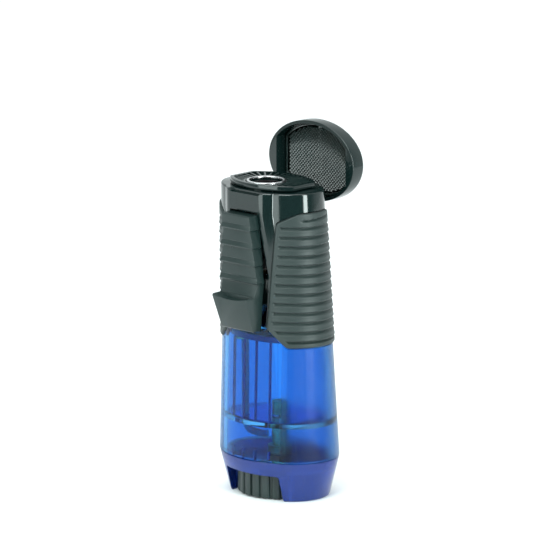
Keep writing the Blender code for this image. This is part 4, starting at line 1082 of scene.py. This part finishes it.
def studded(start, pitch, height, base, middle, half_width, half_depth, flat):
    """Four-sided points set corner to corner over a cropped oval."""
    grid = start.node("GeometryNodeMeshGrid", None, {
        "Size X": pitch * 0.70711 * (STUD_ROWS - 1), "Size Y": pitch * 0.70711 * (STUD_ROWS - 1),
        "Vertices X": STUD_ROWS, "Vertices Y": STUD_ROWS,
    })
    turned_grid = start.node("GeometryNodeTransform", None, {
        "Geometry": grid, "Rotation": (0.0, 0.0, math.pi / 4),
        "Translation": start.node("ShaderNodeCombineXYZ", None, {1: middle, 2: base}),
    })
    spot = start.node("GeometryNodeInputPosition")
    across, along = spot.part(0) / half_width, (spot.part(1) - middle) / half_depth
    far = across * across + along * along
    outside = far.maths("GREATER_THAN", far, 1.0)
    beyond = spot.part(0).maths("ABSOLUTE", spot.part(0))
    beyond = beyond.maths("GREATER_THAN", beyond, flat)
    kept = start.node("GeometryNodeDeleteGeometry", None, {
        "Geometry": turned_grid, "Selection": outside.maths("MAXIMUM", outside, beyond),
    })
    point = start.node("GeometryNodeMeshCone", None, {
        "Vertices": 4, "Radius Top": pitch * 0.10, "Radius Bottom": pitch * 0.49, "Depth": height,
    })
    return start.node("GeometryNodeInstanceOnPoints", None, {
        "Points": kept, "Instance": point, "Rotation": (math.pi, 0.0, 0.0),
    })


lip = [(LID_Z + 0.0002 * (1 - math.cos(a)), 0.0002 * (1 - math.sin(a))) for a in lip_turns]
crown = [
    (lid_top - 0.0012 * (1 - math.sin(a)), LID_ROUND * (1 - math.cos(a)))
    for a in (math.pi / 2 * step / 10 for step in range(11))
]
lid = loft("lid", [lid_ring(z, inset) for z, inset in lip + crown])
inside = (LID_HALF_WIDTH - LID_WALL, LID_HALF_DEPTH - LID_WALL)
recess_outline = cropped_oval(*inside, LID_FLAT_X, LID_MIDDLE_Y)
recess = prism("recess", recess_outline, "Z", LID_Z - 0.001, lid_top - LID_ROOF)
combine(lid, "DIFFERENCE", recess)
arms = []
for near, far in (KNUCKLE_X, [-x for x in reversed(KNUCKLE_X)]):
    arms.append(prism("arm", [
        (hinge_y - 0.0006, hinge_z), (hinge_y + 0.0006, hinge_z),
        (hinge_y + 0.0006, LID_Z + 0.0004), (hinge_y - 0.0006, LID_Z + 0.0004),
    ], "X", near + 0.0001, far - 0.0001))
    arms.append(prism("knuckle", circle(KNUCKLE_RADIUS, 48, (hinge_y, hinge_z)), "X", near, far))
pin_way = prism("pin_way", pin_round, "X", -0.005, 0.005)
combine(lid, "UNION", *arms)
smooth(combine(lid, "DIFFERENCE", pin_way), 30)

liner_top = lid_top - LID_ROOF - GAP
liner = prism("liner", cropped_oval(
    inside[0] - GAP, inside[1] - GAP, LID_FLAT_X - GAP, LID_MIDDLE_Y,
), "Z", liner_top - LINER_PLATE, liner_top)
border = prism("border", cropped_oval(
    inside[0] - GAP - 0.00005, inside[1] - GAP - 0.00005, LID_FLAT_X - GAP - 0.00005, LID_MIDDLE_Y,
), "Z", liner_top - LINER_PLATE - STUD_HEIGHT, liner_top - LINER_PLATE * 0.5)
middle = prism("middle", cropped_oval(
    inside[0] - STUD_BORDER, inside[1] - STUD_BORDER, LID_FLAT_X - STUD_BORDER, LID_MIDDLE_Y,
), "Z", liner_top - 0.002, liner_top - LINER_PLATE * 0.4)
combine(border, "DIFFERENCE", middle)
combine(liner, "UNION", border)
bevel(liner, 0.00006, 2, 40)
smooth(liner, 30)

liner_steel, place = new_material("liner_steel")
scale = place.noise(500.0, 6.0)
heat = place.noise(90.0, 3.0)
surface(place, {
    "Base Color": heat.ramp(0.4, 0.7).mix((0.008, 0.019, 0.018, 1), (0.015, 0.021, 0.018, 1)),
    "Roughness": 0.16 + scale * 0.10,
    "IOR": 1.7,
    "Normal": scale.bump(0.00001, 0.5),
})
sizes = {
    "pitch": STUD_PITCH, "height": STUD_HEIGHT, "base": liner_top - LINER_PLATE + 0.00001,
    "middle": LID_MIDDLE_Y, "half_width": inside[0] - STUD_BORDER - STUD_PITCH * 0.45,
    "half_depth": inside[1] - STUD_BORDER - STUD_PITCH * 0.45,
    "flat": LID_FLAT_X - STUD_BORDER - STUD_PITCH * 0.45,
}
studs = empty_piece("liner_studs")
tree, sockets = grown("liner_points", sizes, liner_steel, studded)
grow(studs, tree, sockets, sizes)
hinge_axis = Matrix.Translation((0.0, hinge_y, hinge_z))
swung = hinge_axis @ Matrix.Rotation(math.radians(-90.0), 4, "X") @ hinge_axis.inverted()
for piece in (lid, liner, studs):
    piece.data.transform(swung)
fit(lid, gloss_black, "lid", "gloss_black", "lid_shell")
fit(liner, liner_steel, "lid", "heat_liner", "lid_liner")
fit(studs, liner_steel, "lid", "heat_liner")


# Studio: a pale floor, a broad soft box to the front left, a tall strip to the right, a pale
# surround that is dim towards the viewer, and a long lens.

AZIMUTH = math.radians(43.0)
ELEVATION = math.radians(12.5)
VIEW_DISTANCE = 1.3
SENSOR = 0.036
FRAME_FOCAL = 4065 / 555

right = Vector((math.cos(AZIMUTH), math.sin(AZIMUTH), 0.0))
towards = Vector((
    math.sin(AZIMUTH) * math.cos(ELEVATION), -math.cos(AZIMUTH) * math.cos(ELEVATION), math.sin(ELEVATION),
))
target = Vector((0.0, -0.0015, 0.0545)) + right * 0.00128
view = bpy.data.cameras.new("view")
view.sensor_width = SENSOR * 1000
view.lens = VIEW_DISTANCE * FRAME_FOCAL * SENSOR * 1000
view.clip_start = 0.01
camera = bpy.data.objects.new("view", view)
camera.location = target + towards * VIEW_DISTANCE
camera.rotation_euler = (-towards).to_track_quat("-Z", "Y").to_euler()
bpy.context.scene.collection.objects.link(camera)
bpy.context.scene.camera = camera


def soft_light(name, azimuth, elevation, distance, width, height, radiance):
    """A rectangular light that faces the object, given its radiance."""
    data = bpy.data.lights.new(name, "AREA")
    data.shape = "RECTANGLE"
    data.size, data.size_y = width, height
    data.energy = radiance * math.pi * width * height
    data.color = (0.88, 1.0, 0.98)
    a, e = math.radians(azimuth), math.radians(elevation)
    away = Vector((math.sin(a) * math.cos(e), -math.cos(a) * math.cos(e), math.sin(e)))
    light = bpy.data.objects.new(name, data)
    light.location = Vector((0.0, 0.0, 0.045)) + away * distance
    light.rotation_euler = away.to_track_quat("Z", "Y").to_euler()
    light.visible_camera = False
    bpy.context.scene.collection.objects.link(light)


soft_light("soft_box", -5.0, 8.0, 0.9, 0.65, 1.0, 4.5)
soft_light("strip", 83.0, 8.0, 0.9, 0.22, 1.0, 19.0)
soft_light("key_light", 24.0, 47.0, 0.9, 0.35, 0.35, 10.0)
overhead = bpy.data.lights.new("overhead", "SUN")
overhead.energy = 1.5
overhead.angle = math.radians(50.0)
bpy.context.scene.collection.objects.link(bpy.data.objects.new("overhead", overhead))

world = bpy.data.worlds.new("surround")
world.use_nodes = True
world.node_tree.nodes.clear()
sky = Link(world.node_tree, world.node_tree.nodes.new("ShaderNodeTexCoord").outputs["Generated"])
facing = sky.node("ShaderNodeVectorMath", {"operation": "DOT_PRODUCT"}, {
    0: sky, 1: tuple(towards),
}, "Value")
dim = 1 - facing.ramp(-0.15, 0.60) * 0.90
seen = sky.node("ShaderNodeLightPath", None, None, "Is Camera Ray")
pale = sky.node("ShaderNodeBackground", None, {"Color": (0.92, 1.0, 1.0, 1), "Strength": dim})
white = sky.node("ShaderNodeBackground", None, {"Color": (1.0, 1.0, 1.0, 1), "Strength": 1.0})
sky.node("ShaderNodeOutputWorld", None, {
    "Surface": sky.node("ShaderNodeMixShader", None, {"Fac": seen, 1: pale, 2: white}),
})
bpy.context.scene.world = world
bpy.context.scene.view_settings.view_transform = "Standard"

behind = (-0.36 * math.sin(AZIMUTH), 0.36 * math.cos(AZIMUTH))
floor = prism("floor", circle(0.6, 180, behind), "Z", -0.01, 0.0)
paper, place = new_material("paper")
surface(place, {
    "Base Color": place.noise(8.0, 4.0).mix((0.86, 0.87, 0.88, 1), (0.90, 0.91, 0.92, 1)),
    "Roughness": 0.9,
    "Normal": place.noise(900.0, 3.0).bump(0.00005, 0.2),
})
floor.data.materials.append(paper)
